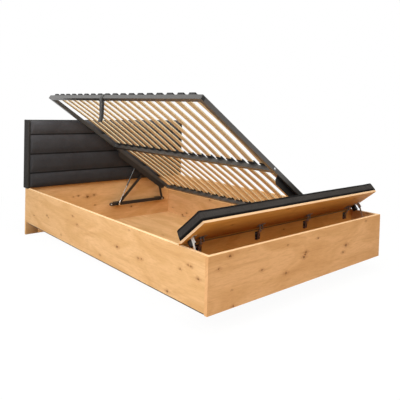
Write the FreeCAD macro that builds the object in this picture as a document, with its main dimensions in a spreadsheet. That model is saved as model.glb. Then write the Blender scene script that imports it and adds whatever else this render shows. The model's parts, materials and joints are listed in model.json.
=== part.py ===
import FreeCAD, Part
import math
import os
import re

import Sketcher

# Storage bed with a sideways lifting slat base and a bench at the foot.
# X runs across the bed, Y from the foot to the headboard, Z up from the floor.
# It stands as photographed: the slat base raised on its left side and the bench lid open.

Vector = FreeCAD.Vector
doc = FreeCAD.newDocument("storage_bed")

# Driving sizes in millimetres and degrees.
SIZES = {
    "bed_width": 1650,
    "bed_length": 2350,
    "rim_height": 402,
    "panel_thick": 22,
    "side_clear": 112,
    "foot_clear": 104,
    "divider_thick": 18,
    "box_thick": 16,
    "box_height": 250,
    "box_left_inset": 163,
    "box_right_inset": 107,
    "floor_thick": 12,
    "glide_high": 3,
    "glide_radius": 12,
    "glide_inset": 60,
    "strip_stem": 2,
    "strip_wide": 26,
    "strip_thick": 1.5,
    "bench_floor_thick": 16,
    "cleat_size": 18,
    "block_size": 28,
    "block_low": 160,
    "block_gap": 42,
    "rest_block_long": 120,
    "rest_block_high": 60,
    "rest_gap": 0.3,
    "core_thick": 40,
    "core_round": 7,
    "cushion_gap": 2,
    "cushion_depth": 21,
    "cushion_crown": 7,
    "cushion_end": 30,
    "channel_bottom": 128,
    "channel_lower": 160,
    "channel_upper": 166,
    "channel_top": 126,
    "frame_side_gap": 8,
    "frame_end_gap": 48,
    "frame_sink": 102,
    "lift_angle": 34.6,
    "pole_inset": 123,
    "pole_rise": 119,
    "rail_wide": 30,
    "rail_high": 30,
    "tube_wall": 2,
    "slat_width": 46,
    "slat_thick": 8,
    "slat_camber": 8,
    "slat_flat": 45,
    "slat_seat": 22,
    "slat_pitch": 105.5,
    "slat_count": 18,
    "row_gap": 8,
    "holder_reach": 38,
    "holder_back": 6,
    "holder_lip": 4,
    "holder_cheek": 4,
    "holder_play": 0.3,
    "pivot_height": 176,
    "arm_back": 355,
    "arm_drop": 30,
    "link_back": 110,
    "link_drop": 24,
    "strut_back": 485,
    "strut_drop": 20,
    "arm_wide": 28,
    "arm_thick": 5,
    "link_wide": 24,
    "bar_high": 30,
    "bar_stand": 31,
    "bar_deep": 18,
    "spacer_wide": 60,
    "bar_tail": 72,
    "bar_nose": 15,
    "bolt_radius": 7,
    "bolt_high": 4,
    "plate_thick": 5,
    "plate_drop": 46,
    "plate_reach": 735,
    "plate_tail": 65,
    "plate_slope": 22,
    "pin_radius": 5,
    "pin_head": 9,
    "pin_head_thick": 3,
    "pin_play": 0.05,
    "layer_gap": 1,
    "eye_radius": 11,
    "eye_thick": 12,
    "rod_radius": 4,
    "rod_overlap": 25,
    "cylinder_radius": 7,
    "cylinder_long": 196,
    "cylinder_floor": 14,
    "cylinder_blend": 3,
    "lid_depth": 232,
    "lid_thick": 13,
    "lid_angle": 39.1,
    "hinge_behind": 8.4,
    "hinge_rise": 25.4,
    "bench_pad_thick": 66,
    "bench_pad_crown": 6,
    "bench_pad_inset": 3,
    "bench_pad_end": 14,
    "hinge_span": 1410,
    "hinge_count": 4,
    "hinge_arm_wide": 18,
    "hinge_arm_long": 58,
    "hinge_arm_deep": 9,
    "nose_out": 24,
    "nose_wide": 9,
    "nose_play": 2,
    "cup_radius": 17.5,
    "cup_depth": 9.5,
    "cup_wall": 1.2,
    "cup_play": 0.3,
    "cup_inset": 36,
    "flange_wide": 56,
    "flange_thick": 1.5,
    "stay_plate_thick": 3,
    "stay_plate_wide": 30,
    "stay_plate_high": 50,
    "stay_ear_wide": 24,
    "stay_foot_wide": 24,
    "stay_foot_long": 40,
    "stay_foot_thick": 2,
    "stay_gap": 0.4,
    "stay_arm_thick": 2.5,
    "stay_arm_wide": 12,
    "stay_arm_long": 116,
    "stay_slot_start": 61,
    "stay_slot_end": 110,
    "stay_slot_wide": 6,
    "stay_pin_radius": 2.5,
    "stay_on_lid": 70,
    "stay_drop": 22,
    "stay_foot_y": 120,
    "stay_foot_drop": 62,
    "strap_wide": 36,
    "strap_thick": 2,
    "strap_long": 160,
    "strap_bay": 9,
    "strap_at": 22,
}

# Places worked out from the sizes.
PLACES = {
    "half_width": "bed_width / 2",
    "half_length": "bed_length / 2",
    "inner_half": "half_width - panel_thick",
    "head_face": "half_length - panel_thick",
    "foot_face": "-half_length + panel_thick",
    "divider_back": "-half_length + lid_depth",
    "divider_front": "divider_back - divider_thick",
    "box_left": "-half_width + box_left_inset",
    "box_right": "half_width - box_right_inset",
    "floor_left": "box_left + box_thick",
    "floor_right": "box_right - box_thick",
    "floor_middle": "(divider_back + head_face) / 2",
    "floor_top": "glide_high + floor_thick",
    "bench_floor_low": "side_clear + cleat_size",
    "cushion_low": "rim_height + cushion_gap",
    "cushion_back": "half_length - core_thick",
    "cushion_high": "channel_bottom + channel_lower + channel_upper + channel_top",
    "core_high": "cushion_gap + cushion_high",
    # Slat base: raised pose reached by turning the closed one about a pole.
    "frame_rest": "rim_height - frame_sink",
    "frame_half": "inner_half - frame_side_gap",
    "frame_wide": "2 * frame_half",
    "frame_head": "head_face - frame_end_gap",
    "frame_foot": "divider_back + frame_end_gap",
    "frame_long": "frame_head - frame_foot",
    "pole_x": "inner_half - pole_inset",
    "pole_z": "rim_height + pole_rise",
    "lift_cos": "cos(lift_angle)",
    "lift_sin": "sin(lift_angle)",
    "lift_x": "pole_x - (frame_half + pole_x) * lift_cos + (frame_rest - pole_z) * lift_sin",
    "lift_z": "pole_z + (frame_half + pole_x) * lift_sin + (frame_rest - pole_z) * lift_cos",
    "slat_low": "rail_high + holder_lip",
    "first_slat": "(frame_head + frame_foot - slat_pitch * (slat_count - 1)) / 2",
    "row_long": "frame_half - row_gap / 2 - rail_wide + slat_seat",
    "slat_rise": "slat_camber",
    "slat_span": "row_long - 2 * slat_flat",
    "slat_bow": "(slat_span * slat_span / 4 + slat_rise * slat_rise) / (2 * slat_rise)",
    # Lift linkage: each moving pivot raised and closed, and its fixed pivot between them.
    "arm_closed_x": "frame_half - arm_back",
    "arm_closed_z": "frame_rest - arm_drop",
    "arm_top_x": "lift_x + (frame_wide - arm_back) * lift_cos - arm_drop * lift_sin",
    "arm_top_z": "lift_z - (frame_wide - arm_back) * lift_sin - arm_drop * lift_cos",
    "arm_slope": "(arm_top_z - arm_closed_z) / (arm_top_x - arm_closed_x)",
    "arm_x": "(arm_top_x + arm_closed_x) / 2"
             " - (pivot_height - (arm_top_z + arm_closed_z) / 2) * arm_slope",
    "arm_angle": "atan2(arm_top_z - pivot_height; arm_top_x - arm_x)",
    "arm_long": "sqrt((arm_top_x - arm_x)^2 + (arm_top_z - pivot_height)^2)",
    "link_closed_x": "frame_half - link_back",
    "link_closed_z": "frame_rest - link_drop",
    "link_top_x": "lift_x + (frame_wide - link_back) * lift_cos - link_drop * lift_sin",
    "link_top_z": "lift_z - (frame_wide - link_back) * lift_sin - link_drop * lift_cos",
    "link_slope": "(link_top_z - link_closed_z) / (link_top_x - link_closed_x)",
    "link_x": "(link_top_x + link_closed_x) / 2"
              " - (pivot_height - (link_top_z + link_closed_z) / 2) * link_slope",
    "link_angle": "atan2(link_top_z - pivot_height; link_top_x - link_x)",
    "link_long": "sqrt((link_top_x - link_x)^2 + (link_top_z - pivot_height)^2)",
    "strut_top_x": "lift_x + (frame_wide - strut_back) * lift_cos - strut_drop * lift_sin",
    "strut_top_z": "lift_z - (frame_wide - strut_back) * lift_sin - strut_drop * lift_cos",
    "strut_lean": "atan2(strut_top_x - arm_x; strut_top_z - pivot_height)",
    "strut_cos": "sin(strut_lean)",
    "strut_sin": "cos(strut_lean)",
    "strut_long": "sqrt((strut_top_x - arm_x)^2 + (strut_top_z - pivot_height)^2)",
    "cylinder_low": "strut_long - eye_radius - cylinder_long",
    "bar_start": "arm_x - bar_tail",
    "bar_long": "link_x + bar_nose - bar_start",
    # Layers of the linkage, counted from the board that carries it towards the slat base.
    "bar_far": "bar_stand + bar_deep",
    "arm_near": "bar_far + layer_gap",
    "arm_far": "arm_near + arm_thick",
    "plate_far": "frame_end_gap + rail_wide",
    "plate_near": "plate_far - plate_thick",
    "eye_middle": "(arm_far + plate_near) / 2",
    "eye_near": "eye_middle - eye_thick / 2",
    "eye_far": "eye_middle + eye_thick / 2",
    # Bench lid: closed flat on the rim, then turned up about its hinge line.
    "hinge_y": "divider_back + hinge_behind",
    "hinge_z": "rim_height + hinge_rise",
    "lid_cos": "cos(lid_angle)",
    "lid_sin": "sin(lid_angle)",
    "lid_top": "rim_height + lid_thick",
    "hinge_pitch": "hinge_span / (hinge_count - 1)",
    "cup_y": "divider_back - cup_inset",
    "nose_rise": "cup_depth - cup_wall - nose_play",
    "stay_lid_y": "divider_back - stay_on_lid",
    "stay_lid_z": "rim_height - stay_drop",
    "stay_top_y": "hinge_y + (stay_lid_y - hinge_y) * lid_cos + (stay_lid_z - hinge_z) * lid_sin",
    "stay_top_z": "hinge_z - (stay_lid_y - hinge_y) * lid_sin + (stay_lid_z - hinge_z) * lid_cos",
    "stay_foot_at": "divider_back - stay_foot_y",
    "stay_foot_z": "rim_height - stay_foot_drop",
    "stay_angle": "atan2(stay_top_z - stay_foot_z; stay_foot_at - stay_top_y)",
    "strap_y": "first_slat + (strap_bay + 0.5) * slat_pitch",
}


def write_sheet(name, cells):
    """Write named cells down column B of a new sheet, with their names beside them."""
    sheet = doc.addObject("Spreadsheet::Sheet", name)
    for row, (alias, content) in enumerate(cells.items(), 1):
        sheet.set("A%d" % row, alias)
        sheet.set("B%d" % row, content)
        sheet.setAlias("B%d" % row, alias)
    doc.recompute()
    return sheet


def qualified(text):
    """Put the sheet's name before every alias in an expression."""
    def full_name(match):
        word = match.group()
        if word in SIZES:
            return "Sizes." + word
        return "Places." + word if word in PLACES else word
    return re.sub(r"[a-z][a-z0-9_]*", full_name, text)


sizes = write_sheet("Sizes", {alias: str(value) for alias, value in SIZES.items()})
places = write_sheet("Places", {alias: "=" + qualified(text) for alias, text in PLACES.items()})
nodes = []


def number(text):
    """Work out an expression on the sheets now."""
    result = sizes.evalExpression(qualified(text))
    return float(getattr(result, "Value", result))


def bind(item, prop, text):
    item.setExpression(prop, qualified(text))


def new(kind, label):
    item = doc.addObject(kind, label)
    item.Label = label
    return item


def node(item):
    """Mark an object as a sub-part of its own, written to its own file."""
    nodes.append(item)
    return item


def turn(item, axis, angle):
    item.Placement = FreeCAD.Placement(Vector(), FreeCAD.Rotation(axis, 1))
    bind(item, "Placement.Rotation.Angle", angle)


def place(item, x, y, z):
    bind(item, "Placement.Base.x", x)
    bind(item, "Placement.Base.y", y)
    bind(item, "Placement.Base.z", z)
    return item


def place_on_base(item, along, y, up):
    """Place a piece of the slat base: along its slope from the left edge, and up from its underside."""
    turn(item, Vector(0, 1, 0), "lift_angle")
    x = "lift_x + (%s) * lift_cos + (%s) * lift_sin" % (along, up)
    z = "lift_z - (%s) * lift_sin + (%s) * lift_cos" % (along, up)
    return place(item, x, y, z)


def place_on_lid(item, x, y, z):
    """Place a piece of the lid, given where it lies when the lid is shut."""
    turn(item, Vector(-1, 0, 0), "lid_angle")
    raised_y = "hinge_y + (%s - hinge_y) * lid_cos + (%s - hinge_z) * lid_sin" % (y, z)
    raised_z = "hinge_z - (%s - hinge_y) * lid_sin + (%s - hinge_z) * lid_cos" % (y, z)
    return place(item, x, raised_y, raised_z)


def block(label, length, width, height):
    box = new("Part::Box", label)
    bind(box, "Length", length)
    bind(box, "Width", width)
    bind(box, "Height", height)
    return box


def rod_along_y(label, radius, x, z, near, far):
    """A round piece along Y between two heights, near being the lower Y."""
    rod = new("Part::Cylinder", label)
    bind(rod, "Radius", radius)
    bind(rod, "Height", "(%s) - (%s)" % (far, near))
    rod.Placement = FreeCAD.Placement(Vector(), FreeCAD.Rotation(Vector(-1, 0, 0), 90))
    return place(rod, x, near, z)


def rod_along_x(label, radius, x, y, z, length):
    rod = new("Part::Cylinder", label)
    bind(rod, "Radius", radius)
    bind(rod, "Height", length)
    rod.Placement = FreeCAD.Placement(Vector(), FreeCAD.Rotation(Vector(0, 1, 0), 90))
    return place(rod, x, y, z)


def group(label, items):
    """Like pieces that share one node as separate solids."""
    together = new("Part::Compound", label)
    together.Links = items
    return together


def fuse(label, items):
    joined = new("Part::MultiFuse", label)
    joined.Shapes = items
    return joined


def cut(label, base, tool):
    result = new("Part::Cut", label)
    result.Base = base
    result.Tool = tool
    return result


def new_sketch(body, plane, name):
    sketch = body.newObject("Sketcher::SketchObject", name)
    face = [item for item in body.Origin.OriginFeatures if item.Role == plane][0]
    sketch.AttachmentSupport = (face, "")
    sketch.MapMode = "FlatFace"
    return sketch


def hold(sketch, kind, index, point, text):
    """Hold one coordinate of a sketch point at an expression's value."""
    row = sketch.addConstraint(Sketcher.Constraint(kind, -1, 1, index, point, number(text)))
    bind(sketch, "Constraints[%d]" % row, text)


def draw_polygon(sketch, corners):
    """Draw a closed outline of straight lines whose corners are pairs of expressions."""
    spots = [Vector(number(x), number(y), 0) for x, y in corners]
    first = sketch.GeometryCount
    count = len(spots)
    for index, spot in enumerate(spots):
        sketch.addGeometry(Part.LineSegment(spot, spots[(index + 1) % count]), False)
    for index, (x, y) in enumerate(corners):
        following = first + (index + 1) % count
        sketch.addConstraint(Sketcher.Constraint("Coincident", first + index, 2, following, 1))
        hold(sketch, "DistanceX", first + index, 1, x)
        hold(sketch, "DistanceY", first + index, 1, y)


def draw_rectangle(sketch, left, low, right, high):
    draw_polygon(sketch, [(left, low), (right, low), (right, high), (left, high)])


def draw_circle(sketch, x, y, radius):
    middle = Vector(number(x), number(y), 0)
    index = sketch.addGeometry(Part.Circle(middle, Vector(0, 0, 1), number(radius)), False)
    hold(sketch, "DistanceX", index, 3, x)
    hold(sketch, "DistanceY", index, 3, y)
    row = sketch.addConstraint(Sketcher.Constraint("Radius", index, number(radius)))
    bind(sketch, "Constraints[%d]" % row, radius)


def draw_slot(sketch, start, finish, radius):
    """Draw a round-ended bar between two distances along the sketch's first axis."""
    near = Vector(number(start), 0, 0)
    far = Vector(number(finish), 0, 0)
    upward = Vector(0, 0, 1)
    offset = Vector(0, number(radius), 0)
    quarter = math.pi / 2
    first = sketch.GeometryCount
    left_end = Part.Circle(near, upward, number(radius))
    right_end = Part.Circle(far, upward, number(radius))
    sketch.addGeometry(Part.ArcOfCircle(left_end, quarter, 3 * quarter), False)
    sketch.addGeometry(Part.LineSegment(near - offset, far - offset), False)
    sketch.addGeometry(Part.ArcOfCircle(right_end, -quarter, quarter), False)
    sketch.addGeometry(Part.LineSegment(far + offset, near + offset), False)
    for edge in range(4):
        following = first + (edge + 1) % 4
        sketch.addConstraint(Sketcher.Constraint("Tangent", first + edge, 2, following, 1))
    sketch.addConstraint(Sketcher.Constraint("Equal", first, first + 2))
    for end, distance in ((first, start), (first + 2, finish)):
        sketch.addConstraint(Sketcher.Constraint("PointOnObject", end, 3, -1))
        hold(sketch, "DistanceX", end, 3, distance)
    row = sketch.addConstraint(Sketcher.Constraint("Radius", first, number(radius)))
    bind(sketch, "Constraints[%d]" % row, radius)


def pad(body, sketch, length, both_ways=False):
    feature = body.newObject("PartDesign::Pad", body.Name + "_pad")
    feature.Profile = sketch
    if both_ways:
        feature.Midplane = True
    bind(feature, "Length", length)
    body.Tip = feature
    return feature


def pocket(body, sketch, length, both_ways=False):
    doc.recompute()
    feature = body.newObject("PartDesign::Pocket", body.Name + "_pocket")
    feature.Profile = sketch
    if both_ways:
        feature.Midplane = True
    bind(feature, "Length", length)
    body.Tip = feature
    return feature


def repeat(body, axis, pitch, count):
    """Repeat everything in a body along one of its axes."""
    doc.recompute()
    pattern = body.newObject("PartDesign::LinearPattern", body.Name + "_row")
    pattern.TransformMode = "Whole shape"
    line = [item for item in body.Origin.OriginFeatures if item.Role == axis][0]
    pattern.Direction = (line, [""])
    bind(pattern, "Length", "(%s) * ((%s) - 1)" % (pitch, count))
    bind(pattern, "Occurrences", count)
    body.Tip = pattern
    return pattern


# Outer case: head, side and foot panels of laminated board, and the divider that closes
# the storage space and carries the bench lid.
place(node(block("head_panel", "bed_width", "panel_thick", "rim_height")), "-half_width", "head_face", "0")
for side, left in (("left", "-half_width"), ("right", "inner_half")):
    panel = block(side + "_side_panel", "panel_thick", "head_face - foot_face", "rim_height - side_clear")
    place(node(panel), left, "foot_face", "side_clear")
foot_panel = block("foot_panel", "bed_width", "panel_thick", "rim_height - foot_clear")
place(node(foot_panel), "-half_width", "-half_length", "foot_clear")

divider = node(new("PartDesign::Body", "divider_panel"))
outline = new_sketch(divider, "XZ_Plane", "divider_outline")
left_notch = "box_left + inner_half"
right_notch = "box_right + inner_half"
draw_polygon(outline, [
    ("0", "side_clear"), (left_notch, "side_clear"), (left_notch, "0"), (right_notch, "0"),
    (right_notch, "side_clear"), ("2 * inner_half", "side_clear"), ("2 * inner_half", "rim_height"),
    ("0", "rim_height")])
pad(divider, outline, "divider_thick")
place(divider, "-inner_half", "divider_back", "0")

# Storage box: set in from the sides so that the panels seem to float, with a two-piece floor.
for side, left in (("left", "box_left"), ("right", "floor_right")):
    wall = block("box_%s_wall" % side, "box_thick", "head_face - divider_back", "box_height")
    place(node(wall), left, "divider_back", "0")
half_floor = "(head_face - divider_back - strip_stem) / 2"
for end, low in (("foot", "divider_back"), ("head", "floor_middle + strip_stem / 2")):
    floor = block("storage_floor_" + end, "floor_right - floor_left", half_floor, "floor_thick")
    place(node(floor), "floor_left", low, "glide_high")
strip = node(new("PartDesign::Body", "floor_strip"))
strip_outline = new_sketch(strip, "YZ_Plane", "strip_outline")
stem_left = "(strip_wide - strip_stem) / 2"
stem_right = "(strip_wide + strip_stem) / 2"
draw_polygon(strip_outline, [
    (stem_left, "0"), (stem_right, "0"), (stem_right, "floor_thick"), ("strip_wide", "floor_thick"),
    ("strip_wide", "floor_thick + strip_thick"), ("0", "floor_thick + strip_thick"),
    ("0", "floor_thick"), (stem_left, "floor_thick")])
pad(strip, strip_outline, "floor_right - floor_left")
place(strip, "floor_left", "floor_middle - strip_wide / 2", "glide_high")
glides = []
for column, x in enumerate(("floor_left + glide_inset", "(floor_left + floor_right) / 2",
                            "floor_right - glide_inset")):
    for row, y in enumerate(("divider_back + glide_inset", "floor_middle - glide_inset",
                             "floor_middle + glide_inset", "head_face - glide_inset")):
        glide = new("Part::Cylinder", "glide_%d_%d" % (column, row))
        bind(glide, "Radius", "glide_radius")
        bind(glide, "Height", "glide_high")
        glides.append(place(glide, x, y, "0"))
node(group("floor_glides", glides))

# Bench box: a floor on two cleats between the foot panel and the divider.
bench_floor = block("bench_floor", "2 * inner_half", "divider_front - foot_face", "bench_floor_thick")
place(node(bench_floor), "-inner_half", "foot_face", "bench_floor_low")
cleats = []
for end, low in (("foot", "foot_face"), ("head", "divider_front - cleat_size")):
    cleat = block("cleat_" + end, "2 * inner_half", "cleat_size", "cleat_size")
    cleats.append(place(cleat, "-inner_half", low, "side_clear"))
node(group("bench_cleats", cleats))

# Corner blocks that join the side panels to the head panel, the divider and the foot panel,
# and rest blocks on the left panel that the shut slat base lies on.
blocks = []
block_high = "rim_height - block_gap - block_low"
for side, left in (("left", "-inner_half"), ("right", "inner_half - block_size")):
    for end, low in (("head", "head_face - block_size"), ("middle", "divider_back"), ("foot", "foot_face")):
        corner = block("block_%s_%s" % (side, end), "block_size", "block_size", block_high)
        blocks.append(place(corner, left, low, "block_low"))
node(group("corner_blocks", blocks))
rests = []
for index, y in enumerate(("frame_foot + frame_long / 6", "frame_head - frame_long / 6")):
    rest = block("rest_%d" % index, "frame_side_gap + rail_wide - tube_wall", "rest_block_long",
                 "rest_block_high")
    low = "frame_rest - rest_gap - rest_block_high"
    rests.append(place(rest, "-inner_half", y + " - rest_block_long / 2", low))
node(group("rest_blocks", rests))

# Headboard: an upholstered board on the head panel, and its cushion with four sewn channels.
core = node(new("PartDesign::Body", "headboard_core"))
core_outline = new_sketch(core, "XZ_Plane", "core_outline")
draw_rectangle(core_outline, "0", "0", "bed_width", "core_high")
core_pad = pad(core, core_outline, "core_thick")
doc.recompute()
core_fillet = core.newObject("PartDesign::Fillet", "core_fillet")
upper_edges = ["Edge%d" % (index + 1) for index, edge in enumerate(core_pad.Shape.Edges)
               if edge.BoundBox.ZMax > number("core_high") / 2]
core_fillet.Base = (core_pad, upper_edges)
bind(core_fillet, "Radius", "core_round")
core.Tip = core_fillet
place(core, "-half_width", "half_length", "rim_height")


def closed_wire(edges):
    return Part.Wire(Part.__sortEdges__(edges))


def arc(start, middle, end):
    return Part.Arc(start, middle, end).toShape()


def line(start, end):
    return Part.LineSegment(start, end).toShape()


def cushion_section(x, fullness):
    """Cross-section of the headboard cushion: a flat back and one round face per channel."""
    back = number("cushion_back")
    valley = back - fullness * number("cushion_depth")
    crest = valley - fullness * number("cushion_crown")
    seams = [number("cushion_low")]
    for channel in ("channel_bottom", "channel_lower", "channel_upper", "channel_top"):
        seams.append(seams[-1] + number(channel))
    edges = [line(Vector(x, back, seams[-1]), Vector(x, back, seams[0])),
             line(Vector(x, back, seams[0]), Vector(x, valley, seams[0])),
             line(Vector(x, valley, seams[-1]), Vector(x, back, seams[-1]))]
    for low, high in zip(seams, seams[1:]):
        middle = Vector(x, crest, (low + high) / 2)
        edges.append(arc(Vector(x, valley, low), middle, Vector(x, valley, high)))
    return closed_wire(edges)


cushion_reach = number("half_width")
cushion_full = cushion_reach - number("cushion_end")
THIN_END = 0.55
cushion = node(new("Part::Feature", "headboard_cushion"))
cushion.Shape = Part.makeLoft([
    cushion_section(-cushion_reach, THIN_END), cushion_section(-cushion_full, 1),
    cushion_section(cushion_full, 1), cushion_section(cushion_reach, THIN_END)], True, True)


def at_end(end, near, far):
    """Low Y, high Y of a linkage layer counted from its board, at the head or the foot end."""
    if end == "head":
        return "head_face - (%s)" % far, "head_face - (%s)" % near
    return "divider_back + (%s)" % near, "divider_back + (%s)" % far


def flat_bar(label, length, radius, thickness, holes):
    """A round-ended flat bar lying along X from its first hole's axis."""
    body = new("PartDesign::Body", label)
    sketch = new_sketch(body, "XZ_Plane", label + "_outline")
    draw_slot(sketch, "0", length, radius)
    for hole in holes:
        draw_circle(sketch, hole, "0", "pin_radius + pin_play")
    pad(body, sketch, thickness)
    return body


def headed_pin(label, x, z, tip, seat, head, end):
    """A pin from its tip layer to its seat, with a head beyond the seat layer."""
    low, high = sorted_layers(end, tip, seat)
    shank = rod_along_y(label + "_shank", "pin_radius", x, z, low, high)
    low, high = sorted_layers(end, seat, head)
    cap = rod_along_y(label + "_cap", "pin_head", x, z, low, high)
    return fuse(label, [shank, cap])


def sorted_layers(end, first, second):
    near, far = (first, second) if number(first) < number(second) else (second, first)
    return at_end(end, near, far)


# Gas lift linkage, alike at both ends: a bar held off the board by spacers, a long arm and a
# short link that carry the slat base, and a gas strut on the arm's pin.
ENDS = ("head", "foot")
arm_pins = []
link_pins = []
bar_bolts = []
spacers = []
for end in ENDS:
    low, high = at_end(end, "0", "bar_stand")
    for name, x in (("arm", "arm_x"), ("link", "link_x - spacer_wide / 2")):
        spacer = block("spacer_%s_%s" % (name, end), "spacer_wide", "bar_stand", "bar_high")
        spacers.append(place(spacer, x + " - spacer_wide / 2", low, "pivot_height - bar_high / 2"))
    low, high = at_end(end, "bar_stand", "bar_far")
    base_bar = node(flat_bar("base_bar_" + end, "bar_long", "bar_high / 2", "bar_deep", []))
    place(base_bar, "bar_start", high, "pivot_height")
    low, high = at_end(end, "bar_far", "bar_far + bolt_high")
    for index, x in enumerate(("bar_start", "bar_start + bar_long / 2")):
        bolt = rod_along_y("bar_bolt_%s_%d" % (end, index), "bolt_radius", x, "pivot_height", low, high)
        bar_bolts.append(bolt)
    arm_pins.append(headed_pin("arm_pin_" + end, "arm_x", "pivot_height", "bar_far", "eye_far + layer_gap",
                               "eye_far + layer_gap + pin_head_thick", end))
    link_pins.append(headed_pin("link_pin_" + end, "link_x", "pivot_height", "bar_far",
                                "arm_far + layer_gap", "arm_far + layer_gap + pin_head_thick", end))
    low, high = at_end(end, "arm_near", "arm_far")
    arm = node(flat_bar("lift_arm_" + end, "arm_long", "arm_wide / 2", "arm_thick", ["0", "arm_long"]))
    turn(arm, Vector(0, -1, 0), "arm_angle")
    place(arm, "arm_x", high, "pivot_height")
    link = node(flat_bar("short_link_" + end, "link_long", "link_wide / 2", "arm_thick",
                         ["0", "link_long"]))
    turn(link, Vector(0, -1, 0), "link_angle")
    place(link, "link_x", high, "pivot_height")
node(group("bar_spacers", spacers))
node(group("bar_bolts", bar_bolts))
node(group("arm_pins", arm_pins))
node(group("link_pins", link_pins))


def strut_piece(label, radius, start, end_at, end):
    """A round length of the strut between two distances from its lower pin."""
    piece = new("Part::Cylinder", label)
    bind(piece, "Radius", radius)
    bind(piece, "Height", "(%s) - (%s)" % (end_at, start))
    turn(piece, Vector(0, 1, 0), "strut_lean")
    middle = "head_face - eye_middle" if end == "head" else "divider_back + eye_middle"
    return place(piece, "arm_x + (%s) * strut_cos" % start, middle,
                 "pivot_height + (%s) * strut_sin" % start)


def strut_eye(label, x, z, radius, end):
    low, high = at_end(end, "eye_near", "eye_far")
    return rod_along_y(label, radius, x, z, low, high)


# Gas struts: the rod's eye turns on the arm's pin and the rod slides in the cylinder above it.
for end in ENDS:
    rod_top = "cylinder_low + rod_overlap"
    tube_top = "strut_long - eye_radius + cylinder_blend"
    rod = fuse("rod_blank_" + end, [
        strut_eye("rod_eye_" + end, "arm_x", "pivot_height", "eye_radius", end),
        strut_piece("rod_shaft_" + end, "rod_radius", "0", rod_top, end)])
    bore = strut_eye("rod_bore_" + end, "arm_x", "pivot_height", "pin_radius + pin_play", end)
    node(cut("strut_rod_" + end, rod, bore))
    cylinder = fuse("cylinder_blank_" + end, [
        strut_eye("cylinder_eye_" + end, "strut_top_x", "strut_top_z", "eye_radius", end),
        strut_piece("cylinder_tube_" + end, "cylinder_radius", "cylinder_low", tube_top, end)])
    hollow = fuse("cylinder_hollow_" + end, [
        strut_eye("cylinder_bore_" + end, "strut_top_x", "strut_top_z", "pin_radius + pin_play", end),
        strut_piece("rod_guide_" + end, "rod_radius + pin_play", "cylinder_low",
                    "strut_long - eye_radius - cylinder_floor", end)])
    node(cut("strut_cylinder_" + end, cylinder, hollow))

# Slat base: square steel tube rails, welded into a frame with a middle rail.
for name, along in (("left_rail", "0"), ("middle_rail", "frame_half - rail_wide / 2"),
                    ("right_rail", "frame_wide - rail_wide")):
    rail = node(new("PartDesign::Body", name))
    section = new_sketch(rail, "XZ_Plane", name + "_section")
    draw_rectangle(section, "0", "0", "rail_wide", "rail_high")
    draw_rectangle(section, "tube_wall", "tube_wall", "rail_wide - tube_wall", "rail_high - tube_wall")
    inset = "rail_wide" if name == "middle_rail" else "0"
    pad(rail, section, "frame_long - 2 * %s" % inset)
    place_on_base(rail, along, "frame_head - %s" % inset, "0")
for end, low in (("head", "frame_head - rail_wide"), ("foot", "frame_foot")):
    rail = node(new("PartDesign::Body", end + "_rail"))
    section = new_sketch(rail, "YZ_Plane", end + "_rail_section")
    draw_rectangle(section, "0", "0", "rail_wide", "rail_high")
    draw_rectangle(section, "tube_wall", "tube_wall", "rail_wide - tube_wall", "rail_high - tube_wall")
    pad(rail, section, "frame_wide - 2 * rail_wide")
    place_on_base(rail, "rail_wide", low, "0")


def draw_slat(sketch):
    """Side view of a sprung slat: flat ends and a bowed middle."""
    near = "slat_flat"
    far = "row_long - slat_flat"
    corners = [("0", "0"), (near, "0"), (far, "0"), ("row_long", "0"), ("row_long", "slat_thick"),
               (far, "slat_thick"), (near, "slat_thick"), ("0", "slat_thick")]
    spots = [Vector(number(x), number(y), 0) for x, y in corners]
    rise = Vector(0, number("slat_rise"), 0)
    bowed = {1: "slat_bow", 5: "slat_bow"}
    for index, spot in enumerate(spots):
        following = spots[(index + 1) % len(spots)]
        if index in bowed:
            sketch.addGeometry(Part.Arc(spot, (spot + following) * 0.5 + rise, following), False)
        else:
            sketch.addGeometry(Part.LineSegment(spot, following), False)
    # Arcs run anticlockwise, so the lower bow ends where the outline enters it.
    ends = {1: (2, 1)}
    for index, (x, y) in enumerate(corners):
        start, finish = ends.get(index, (1, 2))
        following = (index + 1) % len(corners)
        next_start = ends.get(following, (1, 2))[0]
        sketch.addConstraint(Sketcher.Constraint("Coincident", index, finish, following, next_start))
        hold(sketch, "DistanceX", index, start, x)
        hold(sketch, "DistanceY", index, start, y)
    for index, radius in bowed.items():
        row = sketch.addConstraint(Sketcher.Constraint("Radius", index, number(radius)))
        bind(sketch, "Constraints[%d]" % row, radius)


for name, along in (("slats_left", "rail_wide - slat_seat"), ("slats_right", "frame_half + row_gap / 2")):
    slats = node(new("PartDesign::Body", name))
    side_view = new_sketch(slats, "XZ_Plane", name + "_outline")
    draw_slat(side_view)
    pad(slats, side_view, "slat_width")
    repeat(slats, "Y_Axis", "slat_pitch", "slat_count")
    place_on_base(slats, along, "first_slat + slat_width / 2", "slat_low")


def slat_holders(name, along, reach, pockets):
    """Moulded caps along a rail, each with pockets for the slat ends."""
    body = node(new("PartDesign::Body", name))
    side = new_sketch(body, "XZ_Plane", name + "_side")
    draw_rectangle(side, "0", "0", reach, "2 * holder_lip + slat_thick + holder_play")
    pad(body, side, "slat_width + 2 * (holder_cheek + holder_play)", both_ways=True)
    opening = new_sketch(body, "XZ_Plane", name + "_opening")
    for low, high in pockets:
        draw_rectangle(opening, low, "holder_lip", high, "holder_lip + slat_thick + holder_play")
    pocket(body, opening, "slat_width + 2 * holder_play", both_ways=True)
    repeat(body, "Y_Axis", "slat_pitch", "slat_count")
    place_on_base(body, along, "first_slat", "rail_high")


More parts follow.
